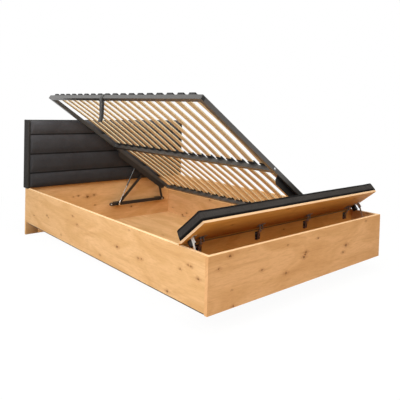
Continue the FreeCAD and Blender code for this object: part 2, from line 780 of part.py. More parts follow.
cap_start = "rail_wide - slat_seat - holder_back"
slat_holders("holders_left", cap_start, "holder_reach", [("holder_back", "holder_reach")])
slat_holders("holders_right", "frame_wide - (%s) - holder_reach" % cap_start, "holder_reach",
             [("0", "holder_reach - holder_back")])
slat_holders("holders_middle", "frame_half - holder_reach", "2 * holder_reach",
             [("0", "holder_reach - row_gap / 2"), ("holder_reach + row_gap / 2", "2 * holder_reach")])

# Lift plates welded under the end rails, with the pins and studs of the linkage.
arm_studs = []
open_studs = []
for end in ENDS:
    low, high = at_end(end, "plate_near", "plate_far")
    plate = node(new("PartDesign::Body", "lift_plate_" + end))
    plate_outline = new_sketch(plate, "XZ_Plane", "plate_outline_" + end)
    plate_long = "plate_reach - plate_tail"
    draw_polygon(plate_outline, [
        ("plate_slope", "0"), (plate_long + " - plate_slope", "0"), (plate_long, "plate_slope"),
        (plate_long, "plate_drop"), ("0", "plate_drop"), ("0", "plate_slope")])
    pad(plate, plate_outline, "plate_thick")
    place_on_base(plate, "frame_wide - plate_reach", high, "-plate_drop")
    arm_studs.append(headed_pin("arm_stud_" + end, "arm_top_x", "arm_top_z", "arm_near",
                                "arm_far + layer_gap / 2", "plate_near", end))
    low, high = at_end(end, "arm_far + layer_gap / 2", "plate_near")
    open_studs.append(rod_along_y("link_stud_" + end, "pin_radius", "link_top_x", "link_top_z", low, high))
    low, high = at_end(end, "eye_middle + cylinder_radius + layer_gap / 2", "plate_near")
    open_studs.append(rod_along_y("strut_stud_" + end, "pin_radius", "strut_top_x", "strut_top_z", low, high))
node(group("arm_studs", arm_studs))
node(group("link_and_strut_studs", open_studs))

# Pull strap: webbing looped round the left rail between two slats, hanging straight down.
loop_inner = block("strap_inside", "rail_wide + 2 * rest_gap", "strap_wide", "rail_high + 2 * rest_gap")
place_on_base(loop_inner, "-rest_gap", "strap_y - strap_wide / 2", "-rest_gap")
loop_outer = block("strap_outside", "rail_wide + 2 * (rest_gap + strap_thick)", "strap_wide",
                   "rail_high + 2 * (rest_gap + strap_thick)")
place_on_base(loop_outer, "-rest_gap - strap_thick", "strap_y - strap_wide / 2", "-rest_gap - strap_thick")
tail = block("strap_tail", "2 * strap_thick", "strap_wide", "strap_long")
strap_down = "rest_gap + strap_thick"
place(tail, "lift_x + strap_at * lift_cos - %s * lift_sin" % strap_down, "strap_y - strap_wide / 2",
      "lift_z - strap_at * lift_sin - %s * lift_cos - strap_long" % strap_down)
strap_blank = fuse("strap_blank", [loop_outer, tail])
node(cut("pull_strap", strap_blank, loop_inner))

# Bench lid: a board bored for the hinge cups, with a long cushion on top.
lid = node(new("PartDesign::Body", "lid_board"))
lid_outline = new_sketch(lid, "XY_Plane", "lid_outline")
draw_rectangle(lid_outline, "0", "0", "bed_width", "lid_depth")
pad(lid, lid_outline, "lid_thick")
bores = new_sketch(lid, "XY_Plane", "hinge_bores")
for index in range(int(number("hinge_count"))):
    draw_circle(bores, "half_width - hinge_span / 2 + %d * hinge_pitch" % index,
                "lid_depth - cup_inset", "cup_radius")
bore_cut = pocket(lid, bores, "cup_depth + cup_play")
bore_cut.Reversed = True
place_on_lid(lid, "-half_width", "-half_length", "rim_height")


def bench_section(x, fullness):
    """Cross-section of the bench cushion when shut: flat below, crowned on top, sides drawn in."""
    inset = number("bench_pad_inset")
    front = -number("half_length") + inset
    back = number("divider_back") - inset
    low = number("lid_top")
    shoulder = low + fullness * (number("bench_pad_thick") - number("bench_pad_crown"))
    crown = low + fullness * number("bench_pad_thick")
    draw_in = fullness * number("bench_pad_crown")
    middle = (low + shoulder) / 2
    front_top = Vector(x, front + draw_in, shoulder)
    back_top = Vector(x, back - draw_in, shoulder)
    front_low = Vector(x, front + draw_in, low)
    back_low = Vector(x, back - draw_in, low)
    return closed_wire([
        line(front_low, back_low), arc(back_low, Vector(x, back, middle), back_top),
        arc(back_top, Vector(x, (front + back) / 2, crown), front_top),
        arc(front_top, Vector(x, front, middle), front_low)])


bench_reach = number("half_width - bench_pad_inset")
bench_full = bench_reach - number("bench_pad_end")
bench_pad = node(new("Part::Feature", "bench_pad"))
bench_pad.Shape = Part.makeLoft([
    bench_section(-bench_reach, THIN_END), bench_section(-bench_full, 1),
    bench_section(bench_full, 1), bench_section(bench_reach, THIN_END)], True, True)
bench_pad.Placement = FreeCAD.Placement(
    Vector(), FreeCAD.Rotation(Vector(-1, 0, 0), number("lid_angle")),
    Vector(0, number("hinge_y"), number("hinge_z")))

# Concealed hinges: arms screwed to the divider, and cups pressed into the lid.
hinge_arms = node(new("PartDesign::Body", "hinge_arms"))
arm_profile = new_sketch(hinge_arms, "YZ_Plane", "hinge_arm_profile")
arm_front = "nose_out - hinge_arm_deep"
nose_top = "hinge_arm_long + nose_rise"
draw_polygon(arm_profile, [
    ("nose_out", "0"), ("nose_out", "hinge_arm_long - 12"), ("nose_wide", "hinge_arm_long"),
    ("nose_wide", nose_top), ("0", nose_top), ("0", "hinge_arm_long - 4"),
    (arm_front, "hinge_arm_long - 20"), (arm_front, "10"), ("nose_out - 4", "0")])
pad(hinge_arms, arm_profile, "hinge_arm_wide", both_ways=True)
repeat(hinge_arms, "X_Axis", "hinge_pitch", "hinge_count")
place(hinge_arms, "-hinge_span / 2", "divider_front - nose_out", "rim_height - hinge_arm_long")

cups = node(new("PartDesign::Body", "hinge_cups"))
flange = new_sketch(cups, "XY_Plane", "flange_outline")
draw_rectangle(flange, "0", "0", "flange_wide", "divider_front - cup_y + cup_radius + 2")
pad(cups, flange, "flange_thick")
cup_side = new_sketch(cups, "XY_Plane", "cup_side")
draw_circle(cup_side, "flange_wide / 2", "cup_radius + 3", "cup_radius - cup_play")
pad(cups, cup_side, "flange_thick + cup_depth")
cup_hollow = new_sketch(cups, "XY_Plane", "cup_hollow")
draw_circle(cup_hollow, "flange_wide / 2", "cup_radius + 3", "cup_radius - cup_play - cup_wall")
cup_cut = pocket(cups, cup_hollow, "flange_thick + cup_depth - cup_wall")
cup_cut.Reversed = True
repeat(cups, "X_Axis", "hinge_pitch", "hinge_count")
place_on_lid(cups, "-(hinge_span + flange_wide) / 2", "(cup_y - cup_radius - 3)",
             "(rim_height - flange_thick)")

# Lid stays at both ends: a slotted arm on a bracket under the lid, passing a stud on the side panel.
brackets = []
side_plates = []
arm_near_wall = "stay_plate_thick + stay_gap"
ear_near_wall = "stay_plate_thick + 2 * stay_gap + stay_arm_thick"


def from_wall(side, near, thick):
    """Low X of a piece that stands a given way off the side panel's inner face."""
    if side == "left":
        return "-inner_half + %s" % near
    return "inner_half - (%s) - (%s)" % (near, thick)


for side in ("left", "right"):
    plate = block("stay_plate_" + side, "stay_plate_thick", "stay_plate_wide", "stay_plate_high")
    place(plate, from_wall(side, "0", "stay_plate_thick"), "stay_foot_at - stay_plate_wide / 2",
          "stay_foot_z - stay_plate_high / 2")
    side_plates.append(plate)
    stay = node(new("PartDesign::Body", "stay_arm_" + side))
    stay_outline = new_sketch(stay, "YZ_Plane", "stay_outline_" + side)
    draw_slot(stay_outline, "0", "stay_arm_long", "stay_arm_wide / 2")
    draw_circle(stay_outline, "0", "0", "stay_pin_radius + pin_play")
    draw_slot(stay_outline, "stay_slot_start", "stay_slot_end", "stay_slot_wide / 2")
    pad(stay, stay_outline, "stay_arm_thick")
    turn(stay, Vector(-1, 0, 0), "stay_angle")
    place(stay, from_wall(side, arm_near_wall, "stay_arm_thick"), "stay_top_y", "stay_top_z")
    ear = block("stay_ear_" + side, "stay_arm_thick", "stay_ear_wide", "stay_drop + stay_ear_wide / 2")
    place_on_lid(ear, from_wall(side, ear_near_wall, "stay_arm_thick"), "(stay_lid_y - stay_ear_wide / 2)",
                 "(stay_lid_z - stay_ear_wide / 2)")
    foot = block("stay_foot_" + side, "stay_foot_wide", "stay_foot_long", "stay_foot_thick")
    place_on_lid(foot, from_wall(side, ear_near_wall, "stay_foot_wide"), "(stay_lid_y - stay_foot_long / 2)",
                 "(rim_height - stay_foot_thick)")
    pin = rod_along_x("stay_pin_" + side, "stay_pin_radius",
                      from_wall(side, arm_near_wall, "stay_arm_thick + stay_gap"),
                      "stay_top_y", "stay_top_z", "stay_arm_thick + stay_gap")
    brackets.append(fuse("stay_bracket_" + side, [ear, foot, pin]))
node(group("stay_brackets", brackets))
node(group("stay_plates", side_plates))

doc.recompute()
faults = [item.Name for item in doc.Objects if {"Invalid", "Error"} & set(item.State)]
for item in nodes:
    if item.Shape.isNull() or not item.Shape.isValid() or not item.Shape.Solids:
        faults.append(item.Label)
if faults:
    raise RuntimeError("failed: " + ", ".join(faults))

os.makedirs("parts", exist_ok=True)
for item in nodes:
    item.Shape.exportStep("parts/%s.step" % item.Label)
print("wrote", len(nodes), "parts")
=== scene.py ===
import json
import math
import random

import bmesh
import bpy
from mathutils import Matrix, Vector


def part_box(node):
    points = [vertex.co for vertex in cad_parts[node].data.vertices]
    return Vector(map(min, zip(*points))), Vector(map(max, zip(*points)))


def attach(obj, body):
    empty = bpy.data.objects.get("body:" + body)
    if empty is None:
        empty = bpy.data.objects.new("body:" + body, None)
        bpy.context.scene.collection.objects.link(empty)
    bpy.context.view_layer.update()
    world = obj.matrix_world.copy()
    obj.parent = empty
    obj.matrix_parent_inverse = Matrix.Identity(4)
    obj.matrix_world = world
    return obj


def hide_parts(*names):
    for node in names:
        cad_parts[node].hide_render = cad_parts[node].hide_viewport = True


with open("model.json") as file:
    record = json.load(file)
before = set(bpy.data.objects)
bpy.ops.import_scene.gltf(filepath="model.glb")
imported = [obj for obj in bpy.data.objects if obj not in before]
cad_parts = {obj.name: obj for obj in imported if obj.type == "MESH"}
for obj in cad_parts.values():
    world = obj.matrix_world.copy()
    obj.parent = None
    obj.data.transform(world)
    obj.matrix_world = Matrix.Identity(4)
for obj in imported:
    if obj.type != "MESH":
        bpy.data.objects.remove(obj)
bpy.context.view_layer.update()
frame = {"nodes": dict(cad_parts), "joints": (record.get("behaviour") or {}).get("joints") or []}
scene = bpy.context.scene

# The outer case: head, side and foot panels and the divider of the bench box. All are chipboard
# laminated with a knotty oak decor whose grain runs level, joined at plain square corners, with
# the edges banded in the same decor and painted pale as a highlight.


class Shade:
    """A value in a finish's node tree. Arithmetic on it adds Math nodes."""

    def __init__(self, tree, socket=None):
        self.tree = tree
        self.socket = socket

    def add(self, kind, settings, sockets, out=0):
        """Add a node: its settings first, then the values or links of its sockets."""
        node = self.tree.nodes.new(kind)
        for name, value in settings.items():
            setattr(node, name, value)
        for name, value in sockets.items():
            if isinstance(value, Shade):
                self.tree.links.new(value.socket, node.inputs[name])
            else:
                node.inputs[name].default_value = value
        return Shade(self.tree, node.outputs[out])

    def out(self, name):
        """Another output of the node that this value comes from."""
        return Shade(self.tree, self.socket.node.outputs[name])

    def maths(self, operation, first, second=0.0):
        return self.add("ShaderNodeMath", {"operation": operation}, {0: first, 1: second})

    def __add__(self, other):
        return self.maths("ADD", self, other)

    def __sub__(self, other):
        return self.maths("SUBTRACT", self, other)

    def __rsub__(self, other):
        return self.maths("SUBTRACT", other, self)

    def __mul__(self, other):
        return self.maths("MULTIPLY", self, other)

    def __gt__(self, other):
        return self.maths("GREATER_THAN", self, other)

    __radd__ = __add__
    __rmul__ = __mul__

    def size(self):
        return self.maths("ABSOLUTE", self)

    def sine(self):
        return self.maths("SINE", self)

    def least(self, other):
        return self.maths("MINIMUM", self, other)

    def most(self, other):
        return self.maths("MAXIMUM", self, other)

    def fade(self, low, high):
        """Rise smoothly from 0 at low to 1 at high."""
        return self.add("ShaderNodeMapRange", {"interpolation_type": "SMOOTHSTEP"},
                        {0: self, 1: low, 2: high, 3: 0.0, 4: 1.0})

    def mix(self, first, second):
        """Blend two colours, this value being the share of the second."""
        return self.add("ShaderNodeMix", {"data_type": "RGBA"}, {0: self, 6: first, 7: second}, 2)

    def vector(self, x, y, z=0.0):
        return self.add("ShaderNodeCombineXYZ", {}, {0: x, 1: y, 2: z})

    def distance(self, place):
        return self.add("ShaderNodeVectorMath", {"operation": "DISTANCE"}, {0: self, 1: place}, "Value")

    def noise(self, where, scale, detail, roughness=0.5, distortion=0.0, dimensions="2D"):
        return self.add("ShaderNodeTexNoise", {"noise_dimensions": dimensions},
                        {"Vector": where, "Scale": scale, "Detail": detail, "Roughness": roughness,
                         "Distortion": distortion})

    def bump(self, height, strength, distance):
        return self.add("ShaderNodeBump", {}, {"Height": height, "Strength": strength, "Distance": distance})


def new_finish(name, constants):
    """Start a finish: its material, its shader with the constant values, and its node tree."""
    finish = bpy.data.materials.new(name)
    finish.use_nodes = True
    shader = finish.node_tree.nodes["Principled BSDF"]
    for socket, value in constants.items():
        shader.inputs[socket].default_value = value
    return finish, shader, Shade(finish.node_tree)


def feed(shader, values):
    """Link values to a finish's shader."""
    for socket, value in values.items():
        value.tree.links.new(value.socket, shader.inputs[socket])


def place_on(start, turn=(0.0, 0.0, 0.0)):
    """X, Y and Z on a piece, in metres, turned so that the pattern follows it."""
    spot = start.add("ShaderNodeTexCoord", {}, {}, "Object")
    turned = start.add("ShaderNodeMapping", {}, {"Vector": spot, "Rotation": turn})
    x = start.add("ShaderNodeSeparateXYZ", {}, {0: turned})
    return x, x.out(1), x.out(2)


OAK_PALE = (0.775, 0.485, 0.240)
OAK_BODY = (0.660, 0.385, 0.166)
OAK_DEEP = (0.500, 0.250, 0.090)
KNOT_BROWN = (0.360, 0.142, 0.038)
KNOT_DARK = (0.112, 0.038, 0.010)
PAINTED_EDGE_HIGHLIGHT = (0.800, 0.560, 0.330)
RECESS_SHADE_BROWN = (0.150, 0.065, 0.020, 1.0)


def toned(colour, tone):
    """A colour shaded by a tone, as a socket takes it."""
    return tuple(part * shade for part, shade in zip(colour, tone)) + (1.0,)


def oak(name, along, knots, shift, tone=(1.0, 1.0, 1.0), edges=(), edge_colour=PAINTED_EDGE_HIGHLIGHT,
        turn=(0.0, 0.0, 0.0), recess=None, gloss=0.20):
    """Oak decor with its grain along one axis, knots at (along, across, radius) in metres, and faces that
    look along the given directions in an edge colour: a painted highlight, on the divider painted shade.
    A recess, given as its height and its distance from the middle of the bed, has painted shade on its front."""
    finish, shader, start = new_finish(name, {"Specular IOR Level": gloss})
    x, y, z = place_on(start, turn)
    grain, across = (x, y + z) if along == "X" else (y, x + z)
    # Knots are ragged dark spots in a brown cloud, with a short tail along the grain.
    ragged = start.noise(start.vector(grain * 95.0, across * 95.0), 1.0, 2.0, 0.6) - 0.5
    torn = start.noise(start.vector(grain * 95.0 + 31.7, across * 95.0), 1.0, 2.0, 0.6) - 0.5
    round_place = start.vector(grain * 0.7 + ragged * 0.014, across + torn * 0.014)
    long_place = start.vector(grain * 0.3 + ragged * 0.008, across + torn * 0.012)
    nearest, tail_near = None, None
    for knot_along, knot_across, radius in knots:
        near = round_place.distance((knot_along * 0.7, knot_across, 0.0)) * (1.0 / radius)
        far = long_place.distance((knot_along * 0.3, knot_across, 0.0)) * (1.0 / radius)
        nearest = near if nearest is None else nearest.least(near)
        tail_near = far if tail_near is None else tail_near.least(far)
    heart = 1 - nearest.fade(0.30, 1.25)
    cloud = 1 - nearest.fade(0.60, 3.4)
    tail = 1 - tail_near.fade(0.30, 2.3)
    # Growth lines swell round the knots, over soft patches, with finer fibres and pores between.
    level = across + cloud * 0.012 + shift
    drift = grain + shift * 7.0
    patches = start.noise(start.vector(drift * 2.2, level * 7.0), 1.0, 4.0, 0.60, 0.8)
    lines = start.noise(start.vector(drift * 1.5, level * 36.0), 1.0, 5.0, 0.66, 0.5)
    flecks = start.noise(start.vector(drift * 16.0, level * 110.0), 1.0, 3.0, 0.65)
    fibres = start.noise(start.vector(drift * 9.0, level * 380.0), 1.0, 2.0, 0.55)
    pores = start.noise(start.vector(drift * 30.0, level * 620.0), 1.0, 1.0, 0.5).fade(0.64, 0.76)
    pale, body, deep = toned(OAK_PALE, tone), toned(OAK_BODY, tone), toned(OAK_DEEP, tone)
    wood = patches.fade(0.32, 0.68).mix(pale, body)
    wood = (lines.fade(0.50, 0.78) * 0.40).mix(wood, deep)
    wood = (flecks.fade(0.46, 0.74) * 0.26).mix(wood, deep)
    wood = (fibres.fade(0.48, 0.78) * 0.16).mix(wood, deep)
    wood = (pores * 0.24).mix(wood, deep)
    stain = (cloud * 0.46).most(tail * 0.48) * (0.35 + lines * 1.2)
    wood = stain.mix(wood, toned(KNOT_BROWN, tone))
    wood = (heart * 0.88).mix(wood, toned(KNOT_DARK, tone))
    facing = start.add("ShaderNodeTexCoord", {}, {}, "Normal")
    # Faces along these directions get the edge colour: a painted highlight, on the divider painted shade.
    for edge in edges:
        toward = start.add("ShaderNodeVectorMath", {"operation": "DOT_PRODUCT"}, {0: facing, 1: edge},
                           "Value")
        wood = ((toward.size() > 0.9) * 0.8).mix(wood, edge_colour + (1.0,))
    # Painted shade on the recess: its front is darkened below its height, most next to the storage box.
    if recess:
        front = start.add("ShaderNodeSeparateXYZ", {}, {0: facing}).out(1).fade(-0.5, -0.9)
        height, inner = recess
        outside = (x.size() > inner) * (1 - x.size().fade(inner - 0.01, inner + 0.22))
        recess_shade = front * (1 - z.fade(height - 0.035, height)) * outside
        wood = (recess_shade * 0.85).mix(wood, RECESS_SHADE_BROWN)
    feed(shader, {"Base Color": wood, "Roughness": 0.54 + fibres * 0.14,
                  "Normal": start.bump(fibres * 0.6 - pores * 0.4 - heart * 0.5, 0.12, 0.0006)})
    return finish


def scattered_knots(node, along, seed):
    """Knots for a board that the photograph hides, spread over its box."""
    chance = random.Random(seed)
    low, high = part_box(node)
    axis = "XYZ".index(along)
    others = [index for index in range(3) if index != axis]
    area = (high[axis] - low[axis]) * sum(high[index] - low[index] for index in others)
    knots = []
    for _ in range(max(3, round(area * 11.0))):
        across = sum(chance.uniform(low[index], high[index]) for index in others)
        knots.append((chance.uniform(low[axis], high[axis]), across, chance.uniform(0.003, 0.007)))
    return knots


def dress(names, finish):
    """Give CAD nodes a finish, their shapes staying as they are."""
    for name in names:
        for slot in frame["nodes"][name].material_slots:
            slot.material = finish


TOP_EDGE = [(0.0, 0.0, 1.0)]

# The side panels: long boards fixed between head and foot, which stop short of the ground. Knots
# seen on the left one are given by their place along the bed, height and radius.
LEFT_KNOTS = [
    (0.720, 0.246, 0.0050), (0.690, 0.236, 0.0030), (0.279, 0.327, 0.0055), (0.209, 0.280, 0.0055),
    (0.463, 0.149, 0.0045), (-0.123, 0.146, 0.0045), (-0.331, 0.251, 0.0075), (-0.464, 0.383, 0.0035),
    (-0.566, 0.240, 0.0060), (-0.600, 0.243, 0.0055), (-0.851, 0.133, 0.0065), (-0.958, 0.283, 0.0042),
    (-1.022, 0.321, 0.0042), (-1.046, 0.318, 0.0046), (-1.102, 0.272, 0.0062), (0.980, 0.200, 0.0035)]
LEFT_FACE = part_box("left_side_panel")[0][0]
left_knots = [(y, LEFT_FACE + z, radius) for y, z, radius in LEFT_KNOTS]
right_knots = scattered_knots("right_side_panel", "Y", 5)
dress(["left_side_panel"], oak("oak_left_side", "Y", left_knots, 0.3, edges=TOP_EDGE))
dress(["right_side_panel"], oak("oak_right_side", "Y", right_knots, 1.9, edges=TOP_EDGE))

# The foot panel: one board across the front of the bench box, fixed over the side panels' ends.
# Its knots are given by their place across the bed, height and radius.
# The board's tone is warmer and a little darker: painted shade.
FOOT_SHADE_TONE = (1.0, 0.935, 0.92)
FOOT_KNOTS = [
    (-0.677, 0.379, 0.0060), (-0.752, 0.328, 0.0045), (-0.429, 0.257, 0.0050), (-0.221, 0.197, 0.0060),
    (-0.211, 0.357, 0.0030), (-0.056, 0.258, 0.0075), (-0.046, 0.272, 0.0050), (-0.038, 0.285, 0.0065),
    (0.079, 0.351, 0.0050), (0.361, 0.213, 0.0060), (0.394, 0.254, 0.0085), (0.634, 0.380, 0.0035),
    (-0.655, 0.199, 0.0030), (-0.644, 0.112, 0.0045)]
FOOT_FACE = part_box("foot_panel")[0][1]
foot_knots = [(x, FOOT_FACE + z, radius) for x, z, radius in FOOT_KNOTS]
dress(["foot_panel"], oak("oak_foot", "X", foot_knots, 2.7, FOOT_SHADE_TONE, TOP_EDGE))

# The head panel: one board that stands on the ground and carries the headboard. Its knots show inside the
# storage box; its tone is lighter as painted light, and its foot behind the side panels has painted shade.
HEAD_LIGHT_TONE = (1.06, 1.08, 1.08)
HEAD_KNOTS = [
    (-0.340, 0.286, 0.0060), (-0.246, 0.268, 0.0120), (-0.179, 0.277, 0.0090), (-0.390, 0.280, 0.0040),
    (-0.166, 0.181, 0.0045), (0.240, 0.120, 0.0060)]
HEAD_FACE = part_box("head_panel")[0][1]
head_knots = [(x, HEAD_FACE + z, radius) for x, z, radius in HEAD_KNOTS]
head_recess = (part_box("left_side_panel")[0][2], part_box("box_right_wall")[1][0])
dress(["head_panel"], oak("oak_head", "X", head_knots, 3.4, HEAD_LIGHT_TONE, recess=head_recess))

# The divider: a board between the storage box and the bench box, which the lid shuts down on.
# Its tone is darker and warmer as painted shade under the lid, and its upper edge is painted darker as shade.
DIVIDER_EDGE_SHADE = (0.220, 0.100, 0.028)
SHADED = (1.06, 0.88, 0.52)
dress(["divider_panel"], oak("oak_divider", "X", scattered_knots("divider_panel", "X", 12), 4.8, SHADED,
                             TOP_EDGE, DIVIDER_EDGE_SHADE, gloss=0.03))

# The storage box stands on the floor behind the side panels: two walls and a floor in two
# pieces, joined by a moulded strip and lifted off the ground by small glides.
for wall, seed in (("box_left_wall", 21), ("box_right_wall", 22)):
    dress([wall], oak("oak_" + wall, "Y", scattered_knots(wall, "Y", seed), 5.0 + 0.3 * seed))
FLOOR_KNOTS = [
    (0.880, 0.705, 0.014), (0.870, 0.745, 0.008), (0.42, 0.11, 0.005), (-0.20, 0.42, 0.007),
    (0.10, -0.31, 0.006), (-0.61, 0.05, 0.007), (0.71, -0.12, 0.005)]
dress(["storage_floor_foot", "storage_floor_head"], oak("oak_floor", "Y", FLOOR_KNOTS, 9.1))


def moulded_plastic(name, colour, roughness):
    """Injection-moulded plastic with a fine spark-eroded grain."""
    finish, shader, start = new_finish(name, {"Specular IOR Level": 0.28})
    x, y, z = place_on(start)
    place = start.vector(x, y, z)
    grain = start.noise(place, 900.0, 2.0, 0.6, dimensions="3D")
    cloud = start.noise(place, 14.0, 3.0, 0.5, dimensions="3D")
    dark = tuple(0.72 * part for part in colour) + (1.0,)
    feed(shader, {"Base Color": cloud.fade(0.3, 0.7).mix(dark, colour + (1.0,)),
                  "Roughness": roughness - 0.08 + grain * 0.16, "Normal": start.bump(grain, 0.18, 0.0004)})
    return finish


dress(["floor_strip"], moulded_plastic("floor_joint", (0.46, 0.27, 0.12), 0.50))
black_plastic = moulded_plastic("black_moulding", (0.014, 0.013, 0.013), 0.44)
dress(["floor_glides"], black_plastic)

# The bench box at the foot: a floor board on two cleats, with glued corner blocks, and rest
# blocks on the side panel that the shut slat base lies on.
# Painted shade: these boards are toned darker and warmer.
BOX_SHADE = (0.88, 0.74, 0.52)
for board, seed in (("bench_floor", 31), ("bench_cleats", 32), ("corner_blocks", 33), ("rest_blocks", 34)):
    dress([board], oak("oak_" + board, "X", scattered_knots(board, "X", seed), 0.4 * seed, BOX_SHADE))

# Two thin strips finish the case: one on the divider's back closes the gap under the raised lid and is
# toned with painted shade, and black strips under the floating side panels are painted shade beneath them.


def rounded_box(shape, low, high, radius, segments=3):
    """Add a closed block between two corners, with rounded edges, to a bmesh."""
    low, high = Vector(low), Vector(high)
    verts = bmesh.ops.create_cube(shape, size=1.0)["verts"]
    bmesh.ops.scale(shape, vec=high - low, verts=verts)
    bmesh.ops.translate(shape, vec=(low + high) / 2, verts=verts)
    edges = list({edge for vertex in verts for edge in vertex.link_edges})
    bmesh.ops.bevel(shape, geom=edges, offset=radius, segments=segments, profile=0.5,
                    affect="EDGES", material=-1, clamp_overlap=True)


def make_piece(name, shape, finish, body, sharp=35.0):
    """Turn a finished bmesh into a piece that rides on a body."""
    mesh = bpy.data.meshes.new(name)
    shape.to_mesh(mesh)
    shape.free()
    mesh.polygons.foreach_set("use_smooth", [True] * len(mesh.polygons))
    mesh.set_sharp_from_angle(angle=math.radians(sharp))
    mesh.materials.append(finish)
    piece = bpy.data.objects.new(name, mesh)
    scene.collection.objects.link(piece)
    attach(piece, body)
    return piece


SEATED = 0.0002
STRIP_PROUD, STRIP_THICK, STRIP_CLEAR, STRIP_ROUND = 0.0085, 0.0022, 0.0006, 0.0006
STRIP_DEEP, STRIP_END_GAP, STRIP_LAP = 0.020, 0.001, 0.004
divider_low, divider_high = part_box("divider_panel")
closing = bmesh.new()
strip_front = divider_high[1] + STRIP_CLEAR
strip_back, strip_top = strip_front + STRIP_THICK, divider_high[2] + STRIP_PROUD
half_inside, half_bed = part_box("right_side_panel")[0][0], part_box("right_side_panel")[1][0]
rounded_box(closing, (STRIP_END_GAP - half_inside, strip_front, divider_high[2] - STRIP_DEEP),
            (half_inside - STRIP_END_GAP, strip_back, strip_top), STRIP_ROUND, 2)
for side in (-1.0, 1.0):
    ends = sorted((side * (half_inside - STRIP_LAP), side * (half_bed - STRIP_END_GAP)))
    rounded_box(closing, (ends[0], strip_front, divider_high[2] + SEATED), (ends[1], strip_back, strip_top),
                STRIP_ROUND, 2)
# Painted shade: the strip is toned like the shaded divider.
strip_oak = oak("oak_strip", "X", scattered_knots("divider_panel", "X", 13), 5.3, SHADED, gloss=0.03)
make_piece("closing_strip", closing, strip_oak, "case")
EDGE_DROP, EDGE_INSET, EDGE_ROUND = 0.006, 0.0015, 0.0015
EDGE_FOOT_GAP, EDGE_HEAD_GAP = 0.004, 0.030
# Painted shade: black strips under the side panels.
shade_strips = bmesh.new()
for side in ("left", "right"):
    low, high = (Vector(spot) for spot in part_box(side + "_side_panel"))
    rounded_box(shade_strips, (low.x + EDGE_INSET, low.y + EDGE_FOOT_GAP, low.z - EDGE_DROP),
                (high.x - EDGE_INSET, high.y - EDGE_HEAD_GAP, low.z + SEATED), EDGE_ROUND, 2)
make_piece("side_shade_strips", shade_strips, black_plastic, "case")

# The headboard: a boxed frame wrapped in padded charcoal cloth and screwed to the head panel. A
# cheek at each end runs forward and closes in the cushion on its front.
SEAM_SHADOW = (0.003, 0.003, 0.003, 1.0)


def charcoal_cloth(name, deep, light, turn=(0.0, 0.0, 0.0), boxing=None, sewn_at=(), lit=None):
    """Basket weave of two dark yarns, slightly mottled, with a soft sheen. A boxing, given as its middle
    height and half width, has seams along both edges painted dark as shade, and other level seams, painted
    the same, lie at given heights. Painted light: darker below the first lit height, full above the second."""
    finish, shader, start = new_finish(name, {
        "Specular IOR Level": 0.03, "Sheen Weight": 0.008, "Sheen Roughness": 0.40,
        "Sheen Tint": (0.75, 0.78, 0.85, 1.0)})
    x, y, z = place_on(start, turn)
    rise = y + z
    warp, weft = (x * 1900.0).sine(), (rise * 1900.0).sine()
    over = (warp * weft) > 0.0
    weave = over * warp.size() + (1 - over) * weft.size()
    yarn = start.noise(start.vector(x * 240.0, rise * 900.0), 1.0, 3.0, 0.6)
    slub = start.noise(start.vector(x * 60.0, rise * 700.0), 1.0, 2.0, 0.5)
    cloud = start.noise(start.vector(x, y, z), 9.0, 4.0, 0.55, dimensions="3D")
    cloth = yarn.fade(0.32, 0.72).mix(deep + (1.0,), light + (1.0,))
    cloth = (slub.fade(0.58, 0.75) * 0.4).mix(cloth, toned(light, (1.4, 1.4, 1.45)))
    cloth = (cloud.fade(0.35, 0.7) * 0.35).mix(cloth, deep + (1.0,))
    if boxing:
        facing = start.add("ShaderNodeTexCoord", {}, {}, "Normal")
        level = start.add("ShaderNodeMapping", {}, {"Vector": facing, "Rotation": turn})
        upright = 1 - start.add("ShaderNodeSeparateXYZ", {}, {0: level}).out(2).size().fade(0.75, 0.95)
        seam = (z - boxing[0]).size().fade(boxing[1] - 0.019, boxing[1] - 0.010)
        cloth = (seam * upright * 0.92).mix(cloth, SEAM_SHADOW)
    # Painted light and shade: darker low down, lighter towards the top.
    if lit:
        cloth = ((1 - z.fade(*lit)) * 0.34).mix(cloth, SEAM_SHADOW)
    for height in sewn_at:
        seam = 1 - (z - height).size().fade(0.0015, 0.0090)
        cloth = (seam * 0.85).mix(cloth, SEAM_SHADOW)
    feed(shader, {"Base Color": cloth, "Roughness": 0.70 + yarn * 0.2,
                  "Normal": start.bump(weave * 0.6 + yarn * 0.5, 0.35, 0.0011)})
    return finish


WRAP_SIDE, WRAP_FRONT, WRAP_BACK, WRAP_TOP = 0.010, 0.012, 0.022, 0.003
CHEEK_WIDE, CHEEK_STEP = 0.016, 0.001
BOX_ROUND, CHEEK_ROUND = 0.008, 0.006
# The box's cloth is a darker copy of the cushion's: painted shade.
box_shaded_cloth = charcoal_cloth("headboard_box_cloth", (0.028, 0.027, 0.027), (0.056, 0.054, 0.054))
core_low, core_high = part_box("headboard_core")
box_low = Vector((core_low[0] - WRAP_SIDE, core_low[1] - WRAP_FRONT, core_low[2]))
box_high = Vector((core_high[0] + WRAP_SIDE, core_high[1] + WRAP_BACK, core_high[2] + WRAP_TOP))
cheek_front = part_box("headboard_cushion")[0][1] + CHEEK_STEP
inset = Vector((CHEEK_WIDE / 2, CHEEK_STEP, CHEEK_STEP))
box_shape = bmesh.new()
rounded_box(box_shape, (box_low.x + inset.x, box_low.y, box_low.z + inset.z), box_high - inset, BOX_ROUND, 4)
for cheek_x in (box_low.x, box_high.x - CHEEK_WIDE):
    rounded_box(box_shape, (cheek_x, cheek_front, box_low.z),
                (cheek_x + CHEEK_WIDE, box_high.y, box_high.z), CHEEK_ROUND, 4)
headboard_box = make_piece("headboard_box", box_shape, box_shaded_cloth, "case")
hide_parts("headboard_core")

